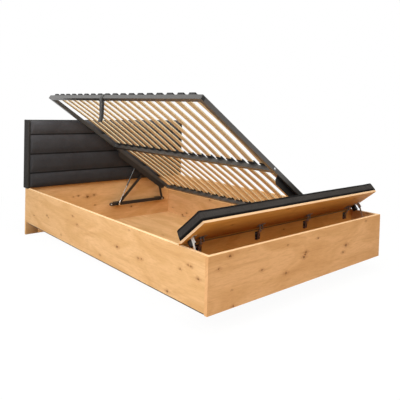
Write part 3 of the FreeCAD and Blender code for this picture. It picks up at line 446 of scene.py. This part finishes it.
# The headboard's front: a foam cushion under a lighter copy of the same cloth, as painted light, sewn
# through in four level channels, so the cover is drawn in at the seams and swells between them.
CHANNELS = (0.127, 0.163, 0.168, 0.122)
CHANNEL_ROWS = 14
CUSHION_COLUMNS = 118
SEAM_DEPTH, SEWN_NEAR = 0.011, 0.0006
END_ROUND, END_GAP = 0.014, 0.015
CREST_BACK, RIM_BACK, BACK_CLEAR = 0.004, 0.004, 0.0005
CROWN = 3.2
PALE_FROM, PALE_TO = 0.30, 0.06
cushion_low, cushion_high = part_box("headboard_cushion")
seams = [cushion_low[2]]
for channel in CHANNELS:
    seams.append(seams[-1] + channel)
# A lighter copy of the box's cloth, painted lighter towards the top: painted light.
headboard_cloth = charcoal_cloth("headboard_cloth", (0.0455, 0.0445, 0.0490), (0.0930, 0.0920, 0.1010),
                                 sewn_at=seams[1:-1],
                                 lit=(core_high[2] - PALE_FROM, core_high[2] - PALE_TO))
FILLING_STEPS = 20


def inflate(piece, pinned, pressure, cap, slack):
    """Fill a sewn cover: cloth under pressure, held at its seams and moved no further than the cap."""
    held = piece.vertex_groups.new(name="held")
    held.add(pinned, 1.0, "REPLACE")
    cover = piece.modifiers.new("cover", "CLOTH")
    cover.settings.quality = 6
    cover.settings.mass = 0.25
    cover.settings.use_pressure = True
    cover.settings.uniform_pressure_force = pressure
    cover.settings.shrink_min = -slack
    cover.settings.vertex_group_mass = "held"
    cover.settings.effector_weights.gravity = 0.0
    cover.collision_settings.use_collision = False
    for moment in range(1, FILLING_STEPS + 1):
        scene.frame_set(moment)
    filled = piece.evaluated_get(bpy.context.evaluated_depsgraph_get()).to_mesh()
    places = [vertex.co.copy() for vertex in filled.vertices]
    piece.modifiers.remove(cover)
    piece.vertex_groups.remove(held)
    for vertex, place in zip(piece.data.vertices, places):
        step = place - vertex.co
        if step.length > cap:
            step *= cap / step.length
        vertex.co += step
    scene.frame_set(1)


def smooth_finely(piece):
    """One level of subdivision."""
    fine = piece.modifiers.new("fine", "SUBSURF")
    fine.levels = 1
    fine.render_levels = 1


panel = bmesh.new()
bmesh.ops.create_grid(panel, x_segments=CUSHION_COLUMNS, y_segments=CHANNEL_ROWS * len(CHANNELS), size=0.5)
bmesh.ops.rotate(panel, cent=(0, 0, 0), matrix=Matrix.Rotation(math.pi / 2, 3, "X"), verts=panel.verts)
half_wide = cushion_high[0] - END_GAP
crest_y = cushion_low[1] + CREST_BACK
for vertex in panel.verts:
    run = min((vertex.co.z + 0.5) * len(CHANNELS), len(CHANNELS) - 1e-6)
    index = int(run)
    rise = run - index
    inward = min(1.0, half_wide * (1 - abs(2 * vertex.co.x)) / END_ROUND)
    crown = max(0.0, 1.0 - abs(2 * rise - 1) ** CROWN)
    ends = math.sqrt(max(0.0, 1.0 - (1.0 - inward) ** 2))
    outer = index in (0, len(CHANNELS) - 1) and abs(rise - (0 if index == 0 else 1)) < 1e-4
    depth = SEAM_DEPTH * (1 - crown * (0.35 + 0.65 * ends)) + (RIM_BACK if outer else 0.0)
    vertex.co = Vector((2 * vertex.co.x * half_wide, crest_y + depth, seams[index] + rise * CHANNELS[index]))
backs = bmesh.ops.extrude_face_region(panel, geom=panel.faces[:])
for item in backs["geom"]:
    if isinstance(item, bmesh.types.BMVert):
        item.co.y = cushion_high[1] - BACK_CLEAR
bmesh.ops.recalc_face_normals(panel, faces=panel.faces)
cushion = make_piece("headboard_cushion_cover", panel, headboard_cloth, "case", sharp=80.0)
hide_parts("headboard_cushion")
sewn = [vertex.index for vertex in cushion.data.vertices
        if vertex.co.y > cushion_high[1] - RIM_BACK
        or min(abs(vertex.co.z - seam) for seam in seams) < SEWN_NEAR]
inflate(cushion, sewn, pressure=4.0, cap=0.0025, slack=0.006)
smooth_finely(cushion)

# The lift: at each end a flat steel bar on spacers, a long arm, a short link and a plate under
# the slat base. All are pressed from steel strip, powder-coated black, and turn on bright pins.


def coated_steel(name, colour, roughness, coat=0.0):
    """Powder-coated steel: a fine orange-peel skin."""
    finish, shader, start = new_finish(name, {"Specular IOR Level": 0.5, "Coat Weight": coat,
                                              "Coat Roughness": 0.25})
    x, y, z = place_on(start)
    place = start.vector(x, y, z)
    peel = start.noise(place, 520.0, 2.0, 0.5, dimensions="3D")
    dust = start.noise(place, 11.0, 4.0, 0.6, dimensions="3D")
    pale = tuple(1.3 * part for part in colour) + (1.0,)
    feed(shader, {"Base Color": (dust.fade(0.42, 0.75) * 0.6).mix(colour + (1.0,), pale),
                  "Roughness": roughness + dust * 0.14, "Normal": start.bump(peel, 0.10, 0.0005)})
    return finish


def bright_steel(name, colour, roughness, metallic=1.0):
    """Zinc-plated or ground steel with faint drawing marks."""
    finish, shader, start = new_finish(name, {"Metallic": metallic})
    x, y, z = place_on(start)
    marks = start.noise(start.vector(x * 60.0, y * 900.0, z * 60.0), 1.0, 3.0, 0.6, dimensions="3D")
    dull = tuple(0.74 * part for part in colour) + (1.0,)
    feed(shader, {"Base Color": marks.fade(0.35, 0.7).mix(colour + (1.0,), dull),
                  "Roughness": roughness + marks * 0.12, "Normal": start.bump(marks, 0.06, 0.0003)})
    return finish


lift_black = coated_steel("lift_black", (0.013, 0.011, 0.010), 0.40)
zinc = bright_steel("zinc", (0.60, 0.60, 0.61), 0.26)
dress(["base_bar_head", "base_bar_foot", "lift_arm_head", "lift_arm_foot", "short_link_head",
       "short_link_foot", "lift_plate_head", "lift_plate_foot"], lift_black)
dress(["bar_spacers"], black_plastic)
dress(["arm_pins", "link_pins", "arm_studs", "link_and_strut_studs"], zinc)

# Bolts that fix the bars to the case: steel button heads with a socket, each on its washer. The
# end ones are zinc-plated, and those in the middle are black like the bars.
BOLT_RADIUS, BOLT_HIGH, BOLT_IN = 0.008, 0.004, 0.015


def button_bolt(shape, spot, radius, height, outward):
    """Add one button-head bolt to a bmesh, its seat at a spot and its head pointing outwards."""
    outward = Vector(outward)
    seat = Matrix.Translation(spot) @ outward.to_track_quat("Z", "Y").to_matrix().to_4x4()
    bmesh.ops.create_cone(shape, cap_ends=True, segments=24, radius1=radius, radius2=radius * 0.96,
                          depth=height * 0.3, matrix=seat @ Matrix.Translation((0, 0, height * 0.15)))
    head = bmesh.ops.create_cone(shape, cap_ends=True, segments=24, radius1=radius * 0.82,
                                 radius2=radius * 0.55, depth=height * 0.7,
                                 matrix=seat @ Matrix.Translation((0, 0, height * 0.65)))
    top = max({face for vertex in head["verts"] for face in vertex.link_faces},
              key=lambda face: face.calc_center_median().dot(outward))
    bmesh.ops.inset_region(shape, faces=[top], thickness=radius * 0.22)
    socket = bmesh.ops.extrude_discrete_faces(shape, faces=[top])["faces"][0]
    bmesh.ops.translate(shape, vec=-outward * height * 0.4, verts=socket.verts[:])


bolt_shape = bmesh.new()
black_bolts = bmesh.new()
for end, outward in (("head", -1.0), ("foot", 1.0)):
    low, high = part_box("base_bar_" + end)
    face = low[1] if end == "head" else high[1]
    middle_z = (low[2] + high[2]) / 2
    for bolted, x in ((bolt_shape, low[0] + BOLT_IN), (black_bolts, (low[0] + high[0]) / 2)):
        button_bolt(bolted, Vector((x, face, middle_z)), BOLT_RADIUS, BOLT_HIGH, (0, outward, 0))
bolts = make_piece("bar_bolt_heads", bolt_shape, zinc, "case")
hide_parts("bar_bolts")
make_piece("bar_middle_bolt_heads", black_bolts, lift_black, "case")

# Gas struts: a gloss black cylinder above and a chromed rod below, which turns on the arm's
# pin. A guide collar closes the cylinder, and a plated sleeve is screwed on the rod's end.
dress(["strut_cylinder_head", "strut_cylinder_foot"],
      coated_steel("strut_black", (0.012, 0.012, 0.013), 0.18, coat=0.6))
chrome = bright_steel("strut_chrome", (0.30, 0.29, 0.28), 0.18)
dress(["strut_rod_head", "strut_rod_foot"], chrome)

joints = {joint["name"]: joint for joint in frame["joints"]}
CYLINDER_END, COLLAR_LONG, COLLAR_RADIUS = 0.1932, 0.010, 0.0078
SLEEVE_START, SLEEVE_LONG, SLEEVE_RADIUS = 0.011, 0.024, 0.0060
RING_CHAMFER = 0.0012
strut_foot = Vector(joints["strut_hinge"]["pos_m"])
strut_line = Vector(joints["strut_slide"]["axis"])
strut_line *= 1.0 if strut_line.z > 0 else -1.0


def ring_on_strut(shape, y, start, length, radius):
    """Add a turned sleeve with chamfered ends round the strut's axis, from a distance along it."""
    middle = Vector((strut_foot.x, y, strut_foot.z)) + strut_line * (start + length / 2)
    place = Matrix.Translation(middle) @ strut_line.to_track_quat("Z", "Y").to_matrix().to_4x4()
    tube = bmesh.ops.create_cone(shape, cap_ends=True, segments=24, radius1=radius, radius2=radius,
                                 depth=length, matrix=place)
    rims = list({edge for vertex in tube["verts"] for edge in vertex.link_edges
                 if abs((edge.verts[0].co - edge.verts[1].co).dot(strut_line)) < 1e-5})
    bmesh.ops.bevel(shape, geom=rims, offset=RING_CHAMFER, segments=2, profile=0.5, affect="EDGES",
                    material=-1)


collars = bmesh.new()
sleeves = bmesh.new()
for end in ("head", "foot"):
    low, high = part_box("strut_rod_" + end)
    ring_on_strut(collars, (low[1] + high[1]) / 2, CYLINDER_END, COLLAR_LONG, COLLAR_RADIUS)
    ring_on_strut(sleeves, (low[1] + high[1]) / 2, SLEEVE_START, SLEEVE_LONG, SLEEVE_RADIUS)
make_piece("strut_collars", collars, black_plastic, "strut_cylinders")
make_piece("strut_sleeves", sleeves, zinc, "strut_rods")

# The slat base: square steel tubes welded into a frame and powder-coated anthracite, with a middle
# rail between the end rails. The lift's plates are fixed under it.
rail_steel = coated_steel("rail_steel", (0.048, 0.045, 0.043), 0.30, coat=0.35)
dress(["left_rail", "middle_rail", "right_rail", "head_rail", "foot_rail"], rail_steel)

LIFT_ANGLE = math.radians(34.6)
RAIL_WIDE, RAIL_HIGH, BASE_WIDE = 0.030, 0.030, 1.590
left_low, left_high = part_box("left_rail")
corner = Vector((left_low[0], 0.0, left_low[2] + RAIL_WIDE * math.sin(LIFT_ANGLE)))
raised = Matrix.Translation(corner) @ Matrix.Rotation(LIFT_ANGLE, 4, "Y")

# Tube plugs: black plastic mouldings that close the open ends of the long rails. They are pressed
# in until they lie almost flush.
PLUG_GAP, PLUG_DEEP, PLUG_PROUD, PLUG_ROUND = 0.0022, 0.012, 0.0006, 0.0015
plugs = bmesh.new()
for along in (0.0, BASE_WIDE - RAIL_WIDE):
    for y, outward in ((left_low[1], -1.0), (left_high[1], 1.0)):
        ends = sorted((y - outward * PLUG_DEEP, y + outward * PLUG_PROUD))
        rounded_box(plugs, (along + PLUG_GAP, ends[0], PLUG_GAP),
                    (along + RAIL_WIDE - PLUG_GAP, ends[1], RAIL_HIGH - PLUG_GAP), PLUG_ROUND, 2)
bmesh.ops.transform(plugs, matrix=raised, verts=plugs.verts)
make_piece("tube_plugs", plugs, black_plastic, "slat_base")

# Bolts of the middle rail: zinc-plated steel button heads, screwed through the end rails into its
# ends. The one at the head end lies flatter.
MIDDLE_BOLT_ALONG, MIDDLE_BOLT_UP, MIDDLE_BOLT_RADIUS = 0.774, 0.014, 0.0085
FLAT_BOLT_HIGH, ROUND_BOLT_HIGH = 0.0018, 0.005
frame_bolts = bmesh.new()
for y, outward, bolt_high in ((left_low[1], -1.0, ROUND_BOLT_HIGH), (left_high[1], 1.0, FLAT_BOLT_HIGH)):
    spot = raised @ Vector((MIDDLE_BOLT_ALONG, y, MIDDLE_BOLT_UP))
    button_bolt(frame_bolts, spot, MIDDLE_BOLT_RADIUS, bolt_high, (0, outward, 0))
make_piece("middle_rail_bolts", frame_bolts, zinc, "slat_base")

# Weld beads: short upright rows of steel drops that overlap, where the end rails meet the long
# rails. They are laid before the frame is coated, so they have its colour.
BEAD, BEAD_STEP, BEAD_COUNT, BEAD_FOOT = 0.0022, 0.0030, 9, 0.003
beads = bmesh.new()
for along in (RAIL_WIDE, BASE_WIDE / 2 - RAIL_WIDE / 2, BASE_WIDE / 2 + RAIL_WIDE / 2, BASE_WIDE - RAIL_WIDE):
    for y in (left_low[1] + RAIL_WIDE, left_high[1] - RAIL_WIDE):
        for step in range(BEAD_COUNT):
            spot = raised @ Vector((along, y, BEAD_FOOT + step * BEAD_STEP))
            bmesh.ops.create_icosphere(beads, subdivisions=1, radius=BEAD, matrix=Matrix.Translation(spot))
make_piece("weld_beads", beads, rail_steel, "slat_base", sharp=80.0)

# Sprung slats: birch veneers glued into bowed strips and lacquered, with the plies showing along
# their edges, which are painted pale as a highlight. They lie loose in the holders, in two rows.


def birch(name, turn):
    """Lacquered birch with level streaks, each slat a little different, and plies on edges painted pale as a
    highlight.
    """
    finish, shader, start = new_finish(name, {"Specular IOR Level": 0.40})
    x, y, z = place_on(start, turn)
    facing = start.add("ShaderNodeSeparateXYZ", {}, {0: start.add("ShaderNodeTexCoord", {}, {}, "Normal")})
    edge = facing.out(1).size().fade(0.7, 0.95)
    each = start.noise(start.vector(0.0, y * 9.5, 0.0), 1.0, 0.0, dimensions="3D")
    streak = start.noise(start.vector(x * 2.6, y * 130.0, z * 30.0), 1.0, 5.0, 0.6, 0.3, dimensions="3D")
    fleck = start.noise(start.vector(x * 40.0, y * 700.0, z * 200.0), 1.0, 2.0, 0.5, dimensions="3D")
    wood = streak.fade(0.34, 0.70).mix((0.790, 0.625, 0.395, 1.0), (0.660, 0.475, 0.265, 1.0))
    wood = (each.fade(0.35, 0.65) * 0.35).mix(wood, (0.620, 0.480, 0.290, 1.0))
    wood = (fleck.fade(0.56, 0.75) * 0.25).mix(wood, (0.440, 0.310, 0.160, 1.0))
    plies = (z * 3600.0).sine().fade(0.1, 0.7)
    # Painted highlight: the edges are pale.
    wood = edge.mix(wood, (0.880, 0.750, 0.520, 1.0))
    wood = (edge * plies * 0.45).mix(wood, (0.480, 0.310, 0.150, 1.0))
    feed(shader, {"Base Color": wood, "Roughness": 0.38 + fleck * 0.18,
                  "Normal": start.bump(streak, 0.08, 0.0006)})
    return finish


dress(["slats_left", "slats_right"], birch("birch_slats", (0.0, -LIFT_ANGLE, 0.0)))

# Slat holders: caps moulded in soft black plastic and pressed onto the rails. Each grips the end of
# a slat, and those on the middle rail grip two.
dress(["holders_left", "holders_middle", "holders_right"], black_plastic)

# Pull strap: black webbing sewn into a loop round the left rail. The doubled loop lies thick on
# the rail, and its two runs hang down and meet in a sewn end.
STRAP_THICK, STRAP_WIDE, STRAP_OFFSET = 0.0022, 0.030, 0.009
STRAP_FRONT, STRAP_REAR = -0.003, 0.019
strap_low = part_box("pull_strap")[0]
strap_start = strap_low[1] - STRAP_OFFSET
front_x, rear_x, strap_foot = corner.x + STRAP_FRONT, corner.x + STRAP_REAR, strap_low[2]


def by_rail(along, up):
    """A point beside the left rail, by its distance across the rail and above its underside."""
    return raised @ Vector((along, 0.0, up))


strap_path = [
    Vector((front_x - 0.012, 0, strap_foot + 0.000)), Vector((front_x - 0.008, 0, strap_foot + 0.012)),
    Vector((front_x - 0.001, 0, strap_foot + 0.030)), Vector((front_x + 0.001, 0, strap_foot + 0.070)),
    Vector((front_x, 0, strap_foot + 0.120)), Vector((front_x - 0.001, 0, strap_foot + 0.155)),
    by_rail(-0.0030, 0.000), by_rail(-0.0036, RAIL_HIGH - 0.003), by_rail(-0.0010, RAIL_HIGH + 0.0070),
    by_rail(0.0150, RAIL_HIGH + 0.0115), by_rail(0.0310, RAIL_HIGH + 0.0070),
    by_rail(0.0336, RAIL_HIGH - 0.003), by_rail(0.0330, -0.0026), by_rail(0.0235, -0.0030),
    Vector((rear_x, 0, strap_foot + 0.130)), Vector((rear_x - 0.001, 0, strap_foot + 0.080)),
    Vector((rear_x - 0.003, 0, strap_foot + 0.035)), Vector((rear_x - 0.010, 0, strap_foot + 0.010)),
    Vector((rear_x - 0.020, 0, strap_foot + 0.001)), Vector((front_x - 0.004, 0, strap_foot - 0.001))]
webbing = bmesh.new()
ring = [webbing.verts.new(Vector((spot.x, strap_start, spot.z))) for spot in strap_path]
sides = [webbing.edges.new((spot, ring[(index + 1) % len(ring)])) for index, spot in enumerate(ring)]
run = bmesh.ops.extrude_edge_only(webbing, edges=sides)
bmesh.ops.translate(webbing, vec=(0, STRAP_WIDE, 0),
                    verts=[item for item in run["geom"] if isinstance(item, bmesh.types.BMVert)])
bmesh.ops.recalc_face_normals(webbing, faces=webbing.faces)
bmesh.ops.solidify(webbing, geom=webbing.faces[:], thickness=STRAP_THICK)


def strap_webbing(name):
    """Ribbed black webbing, slightly glossy along the ribs."""
    finish, shader, start = new_finish(name, {"Specular IOR Level": 0.4, "Sheen Weight": 0.2})
    x, y, z = place_on(start)
    ribs = (z * 2600.0 + y * 1400.0).sine()
    yarn = start.noise(start.vector(x, y, z), 700.0, 2.0, 0.6, dimensions="3D")
    cloth = yarn.fade(0.3, 0.7).mix((0.010, 0.009, 0.009, 1.0), (0.036, 0.033, 0.032, 1.0))
    feed(shader, {"Base Color": cloth, "Roughness": 0.50 + yarn * 0.2,
                  "Normal": start.bump(ribs * 0.5 + yarn * 0.4, 0.35, 0.0008)})
    return finish


strap = make_piece("pull_strap_webbing", webbing, strap_webbing("strap_webbing"), "slat_base",
                   sharp=60.0)
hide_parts("pull_strap")

# The bench lid: a laminated board on concealed hinges, held open by slotted stays. The hinge
# cups are pressed into the board and the arms screwed to the divider.
LID_ANGLE = math.radians(39.1)
lid_up = Vector((0.0, math.sin(LID_ANGLE), math.cos(LID_ANGLE)))
lid_ahead = Vector((0.0, -math.cos(LID_ANGLE), math.sin(LID_ANGLE)))
# The board is toned darker and warmer as painted shade, and its front and end edges are painted pale as a
# highlight.
LID_SHADE_TONE, LID_EDGE_HIGHLIGHT = (0.80, 0.58, 0.25), (0.680, 0.480, 0.310)
LID_KNOTS = [
    (-0.150, -1.500, 0.0060), (0.330, -1.390, 0.0050), (-0.550, -1.420, 0.0050), (0.610, -1.460, 0.0045)]
dress(["lid_board"], oak("oak_lid", "X", LID_KNOTS, 6.6, LID_SHADE_TONE, [lid_ahead, (1.0, 0.0, 0.0)], LID_EDGE_HIGHLIGHT,
                         turn=(LID_ANGLE, 0.0, 0.0)))
nickel = bright_steel("hinge_nickel", (0.36, 0.34, 0.32), 0.28)
dress(["hinge_arms", "hinge_cups"], nickel)
dress(["stay_plates", "stay_brackets", "stay_arm_left", "stay_arm_right"],
      bright_steel("stay_zinc", (0.66, 0.64, 0.60), 0.34, metallic=0.70))

# Hinge links: pairs of plates pressed from nickel-plated steel, riveted at both ends between each
# cup and the nose of its arm.
HINGE_PLACES = (-0.705, -0.235, 0.235, 0.705)
LINK_TOP, LINK_FOOT = Vector((0, -0.985, 0.441)), Vector((0, -0.9935, 0.410))
LINK_OUT, LINK_THICK, LINK_HALF, LINK_ROUND = 0.0108, 0.0016, 0.0042, 0.0006
RIVET_RADIUS, RIVET_HIGH, RIVET_FOOT, RIVET_TOP = 0.0026, 0.0012, 0.004, 0.006
link_rise = LINK_TOP - LINK_FOOT
links = bmesh.new()
for x in HINGE_PLACES:
    for side in (-1.0, 1.0):
        middle = x + side * LINK_OUT
        rounded_box(links, (middle - LINK_THICK / 2, LINK_FOOT.y - LINK_HALF, LINK_FOOT.z),
                    (middle + LINK_THICK / 2, LINK_FOOT.y + LINK_HALF, LINK_FOOT.z + link_rise.length),
                    LINK_ROUND, 2)
        for height in (RIVET_FOOT, link_rise.length - RIVET_TOP):
            button_bolt(links, Vector((middle + side * LINK_THICK / 2, LINK_FOOT.y, LINK_FOOT.z + height)),
                        RIVET_RADIUS, RIVET_HIGH, (side, 0, 0))
lean = Matrix.Rotation(-math.atan2(link_rise.y, link_rise.z), 3, "X")
bmesh.ops.rotate(links, cent=LINK_FOOT, matrix=lean, verts=links.verts)
make_piece("hinge_links", links, nickel, "lid")

# Hinge plates: black moulded wings on both sides of each arm, which lie flat on the divider; their black
# is painted shade beside each arm. Each is fixed by two nickel-plated screws.
WING_IN, WING_OUT, WING_LOW, WING_HIGH = 0.0095, 0.0215, 0.346, 0.394
WING_THICK, WING_ROUND = 0.0028, 0.0012
SCREW_RADIUS, SCREW_HIGH, SCREW_IN = 0.0042, 0.0022, 0.012
wing_front = divider_low[1] - WING_THICK
wings = bmesh.new()
screws = bmesh.new()
for x in HINGE_PLACES:
    for side in (-1.0, 1.0):
        ends = sorted((x + side * WING_IN, x + side * WING_OUT))
        rounded_box(wings, (ends[0], wing_front, WING_LOW), (ends[1], divider_low[1], WING_HIGH),
                    WING_ROUND, 2)
        for height in (WING_LOW + SCREW_IN, WING_HIGH - SCREW_IN):
            button_bolt(screws, Vector(((ends[0] + ends[1]) / 2, wing_front, height)),
                        SCREW_RADIUS, SCREW_HIGH, (0, -1, 0))
make_piece("hinge_wings", wings, black_plastic, "case")
make_piece("hinge_screws", screws, nickel, "case")

# Stay housings: black plastic mouldings screwed under the lid behind the stays' brackets, one at
# each end. Their corners are given for the shut lid, which then swings open.
HOUSING_LOW, HOUSING_HIGH = Vector((0.769, -0.992, 0.364)), Vector((0.7955, -0.9625, 0.4018))
HOUSING_ROUND = 0.004
hinge = Vector(joints["lid_hinge"]["pos_m"])
open_lid = (Matrix.Translation(hinge) @ Matrix.Rotation(LID_ANGLE, 4, Vector((-1, 0, 0)))
            @ Matrix.Translation(-hinge))
housings = bmesh.new()
rounded_box(housings, HOUSING_LOW, HOUSING_HIGH, HOUSING_ROUND, 3)
rounded_box(housings, (-HOUSING_HIGH.x, HOUSING_LOW.y, HOUSING_LOW.z),
            (-HOUSING_LOW.x, HOUSING_HIGH.y, HOUSING_HIGH.z), HOUSING_ROUND, 3)
bmesh.ops.transform(housings, matrix=open_lid, verts=housings.verts)
make_piece("stay_housings", housings, black_plastic, "lid")

# The bench pad: foam glued on the lid board under the same charcoal cloth. The cover is boxed, with
# a seam round the upper and the lower edge of its sides.
PAD_LOW = Vector((-0.8270, -1.1735, 0.4153))
PAD_HIGH = Vector((0.8390, -0.9455, 0.4785))
PAD_CUTS = (118, 16, 5)
PAD_TAPER = (0.006, -0.003)
PAD_FALL, PAD_FALL_WIDE = 0.003, 0.05
PAD_GLUED = 0.002
pad = bmesh.new()
bmesh.ops.create_cube(pad, size=1.0)
for axis, cuts in enumerate(PAD_CUTS):
    runs = [edge for edge in pad.edges if abs((edge.verts[0].co - edge.verts[1].co)[axis]) > 0.5]
    bmesh.ops.subdivide_edges(pad, edges=runs, cuts=cuts, use_grid_fill=True)
pad_size = PAD_HIGH - PAD_LOW
pad_middle = (PAD_LOW + PAD_HIGH) / 2
for vertex in pad.verts:
    spot = Vector(vertex.co[axis] * pad_size[axis] for axis in range(3))
    lift = vertex.co.z + 0.5
    inward = min(pad_size.x / 2 - abs(spot.x), pad_size.y / 2 - abs(spot.y))
    fall = max(0.0, 1 - inward / PAD_FALL_WIDE) ** 2
    spot.z -= lift * PAD_FALL * fall
    if inward < 1e-4:
        for axis in (0, 1):
            if pad_size[axis] / 2 - abs(spot[axis]) < 1e-4:
                spot[axis] -= math.copysign(PAD_TAPER[axis] * lift, spot[axis])
    vertex.co = pad_middle + spot
bmesh.ops.recalc_face_normals(pad, faces=pad.faces)
pad_seam = (open_lid @ pad_middle).dot(lid_up)
bench_cloth = charcoal_cloth("bench_cloth", (0.026, 0.0235, 0.0225), (0.055, 0.050, 0.049),
                             turn=(LID_ANGLE, 0.0, 0.0), boxing=(pad_seam, pad_size.z / 2))
bench = make_piece("bench_pad_cover", pad, bench_cloth, "lid", sharp=80.0)
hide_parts("bench_pad")
glued = [vertex.index for vertex in bench.data.vertices if vertex.co.z < PAD_LOW.z + PAD_GLUED]
inflate(bench, glued, pressure=4.0, cap=0.002, slack=0.01)
bench.data.transform(open_lid)
smooth_finely(bench)

# The room: a pale paper floor that runs into a white background, and three soft round lights: one
# from the upper left, one from above, and a weaker warm one from the front. An even surround fills in.
FLOOR_HALF = 14.0
floor_mesh = bpy.data.meshes.new("studio_floor")
floor_shape = bmesh.new()
bmesh.ops.create_grid(floor_shape, x_segments=1, y_segments=1, size=FLOOR_HALF)
floor_shape.to_mesh(floor_mesh)
floor_shape.free()
floor = bpy.data.objects.new("studio_floor", floor_mesh)
scene.collection.objects.link(floor)
floor_finish = bpy.data.materials.new("studio_paper")
floor_finish.use_nodes = True
floor_finish.node_tree.nodes.clear()
start = Shade(floor_finish.node_tree)


def seen_directly(start):
    """1 where a surface is seen by the camera, in a reflection or through glass."""
    ray = start.add("ShaderNodeLightPath", {}, {}, "Is Camera Ray")
    return ray.most(ray.out("Is Glossy Ray")).most(ray.out("Is Transmission Ray"))


paper = start.add("ShaderNodeBsdfDiffuse", {}, {"Color": (0.60, 0.54, 0.47, 1.0)})
bright_paper = start.add("ShaderNodeBsdfDiffuse", {}, {"Color": (1.0, 1.0, 1.0, 1.0)})
white = start.add("ShaderNodeEmission", {}, {"Color": (1.0, 1.0, 1.0, 1.0), "Strength": 1.0})
x, y, _ = place_on(start)
away = start.vector(x, y).distance((0.0, 0.0, 0.0)).fade(1.2, 2.8)
veiled = start.add("ShaderNodeMixShader", {}, {0: 0.955 + away * 0.045, 1: bright_paper, 2: white})
surface = start.add("ShaderNodeMixShader", {}, {0: seen_directly(start), 1: paper, 2: veiled})
output = floor_finish.node_tree.nodes.new("ShaderNodeOutputMaterial")
floor_finish.node_tree.links.new(surface.socket, output.inputs["Surface"])
floor_mesh.materials.append(floor_finish)

SURROUND = 0.24
world = bpy.data.worlds.new("studio_surround")
scene.world = world
world.use_nodes = True
sky = Shade(world.node_tree)
background = world.node_tree.nodes["Background"]
seen = seen_directly(sky)
world.node_tree.links.new((SURROUND + seen * (1.0 - SURROUND)).socket, background.inputs["Strength"])
tint = seen.mix((1.0, 0.92, 0.82, 1.0), (1.0, 1.0, 1.0, 1.0))
world.node_tree.links.new(tint.socket, background.inputs["Color"])


def soft_light(name, spot, target, size, power, colour):
    """A round lamp at a spot, facing a target."""
    lamp = bpy.data.lights.new(name, "AREA")
    lamp.shape = "DISK"
    lamp.size = size
    lamp.energy = power
    lamp.color = colour
    holder = bpy.data.objects.new(name, lamp)
    holder.location = spot
    holder.rotation_euler = (Vector(target) - Vector(spot)).to_track_quat("-Z", "Y").to_euler()
    scene.collection.objects.link(holder)


soft_light("key_light", (-4.6, -1.2, 3.4), (0.0, 0.0, 0.4), 3.4, 214.0, (0.98, 0.99, 1.0))
soft_light("top_light", (-0.5, -0.4, 4.6), (0.0, 0.0, 0.2), 3.6, 185.0, (0.96, 1.0, 0.96))
soft_light("front_light", (0.4, -3.8, 3.9), (0.0, -0.4, 0.4), 2.2, 92.0, (1.0, 0.91, 0.77))

# The camera stands off the left foot corner, nearly level and a little above the headboard,
# with the lens shifted down as a view camera's is, so that the uprights stay upright.
TURN, TILT, ROLL = math.radians(-40.903), math.radians(2.0), math.radians(1.516)
FOCAL_PIXELS, FRAME_PIXELS = 477.3, 400.0
CENTRE_PIXELS = (198.66, 124.49)
CAMERA_SPOT = (-2.3809, -2.8719, 1.1266)
right = Vector((math.cos(TURN), math.sin(TURN), 0.0))
back = Vector((math.sin(TURN) * math.cos(TILT), -math.cos(TURN) * math.cos(TILT), math.sin(TILT)))
up = back.cross(right)
level_right = math.cos(ROLL) * right + math.sin(ROLL) * up
level_up = math.cos(ROLL) * up - math.sin(ROLL) * right
view = Matrix((level_right, level_up, back)).transposed().to_4x4()
lens = bpy.data.cameras.new("camera")
lens.sensor_width = 36.0
lens.lens = lens.sensor_width * FOCAL_PIXELS / FRAME_PIXELS
lens.shift_x = (FRAME_PIXELS / 2 - CENTRE_PIXELS[0]) / FRAME_PIXELS
lens.shift_y = (CENTRE_PIXELS[1] - FRAME_PIXELS / 2) / FRAME_PIXELS
lens.clip_end = 60.0
camera = bpy.data.objects.new("camera", lens)
camera.matrix_world = Matrix.Translation(CAMERA_SPOT) @ view
scene.collection.objects.link(camera)
scene.camera = camera
scene.view_settings.view_transform = "Standard"
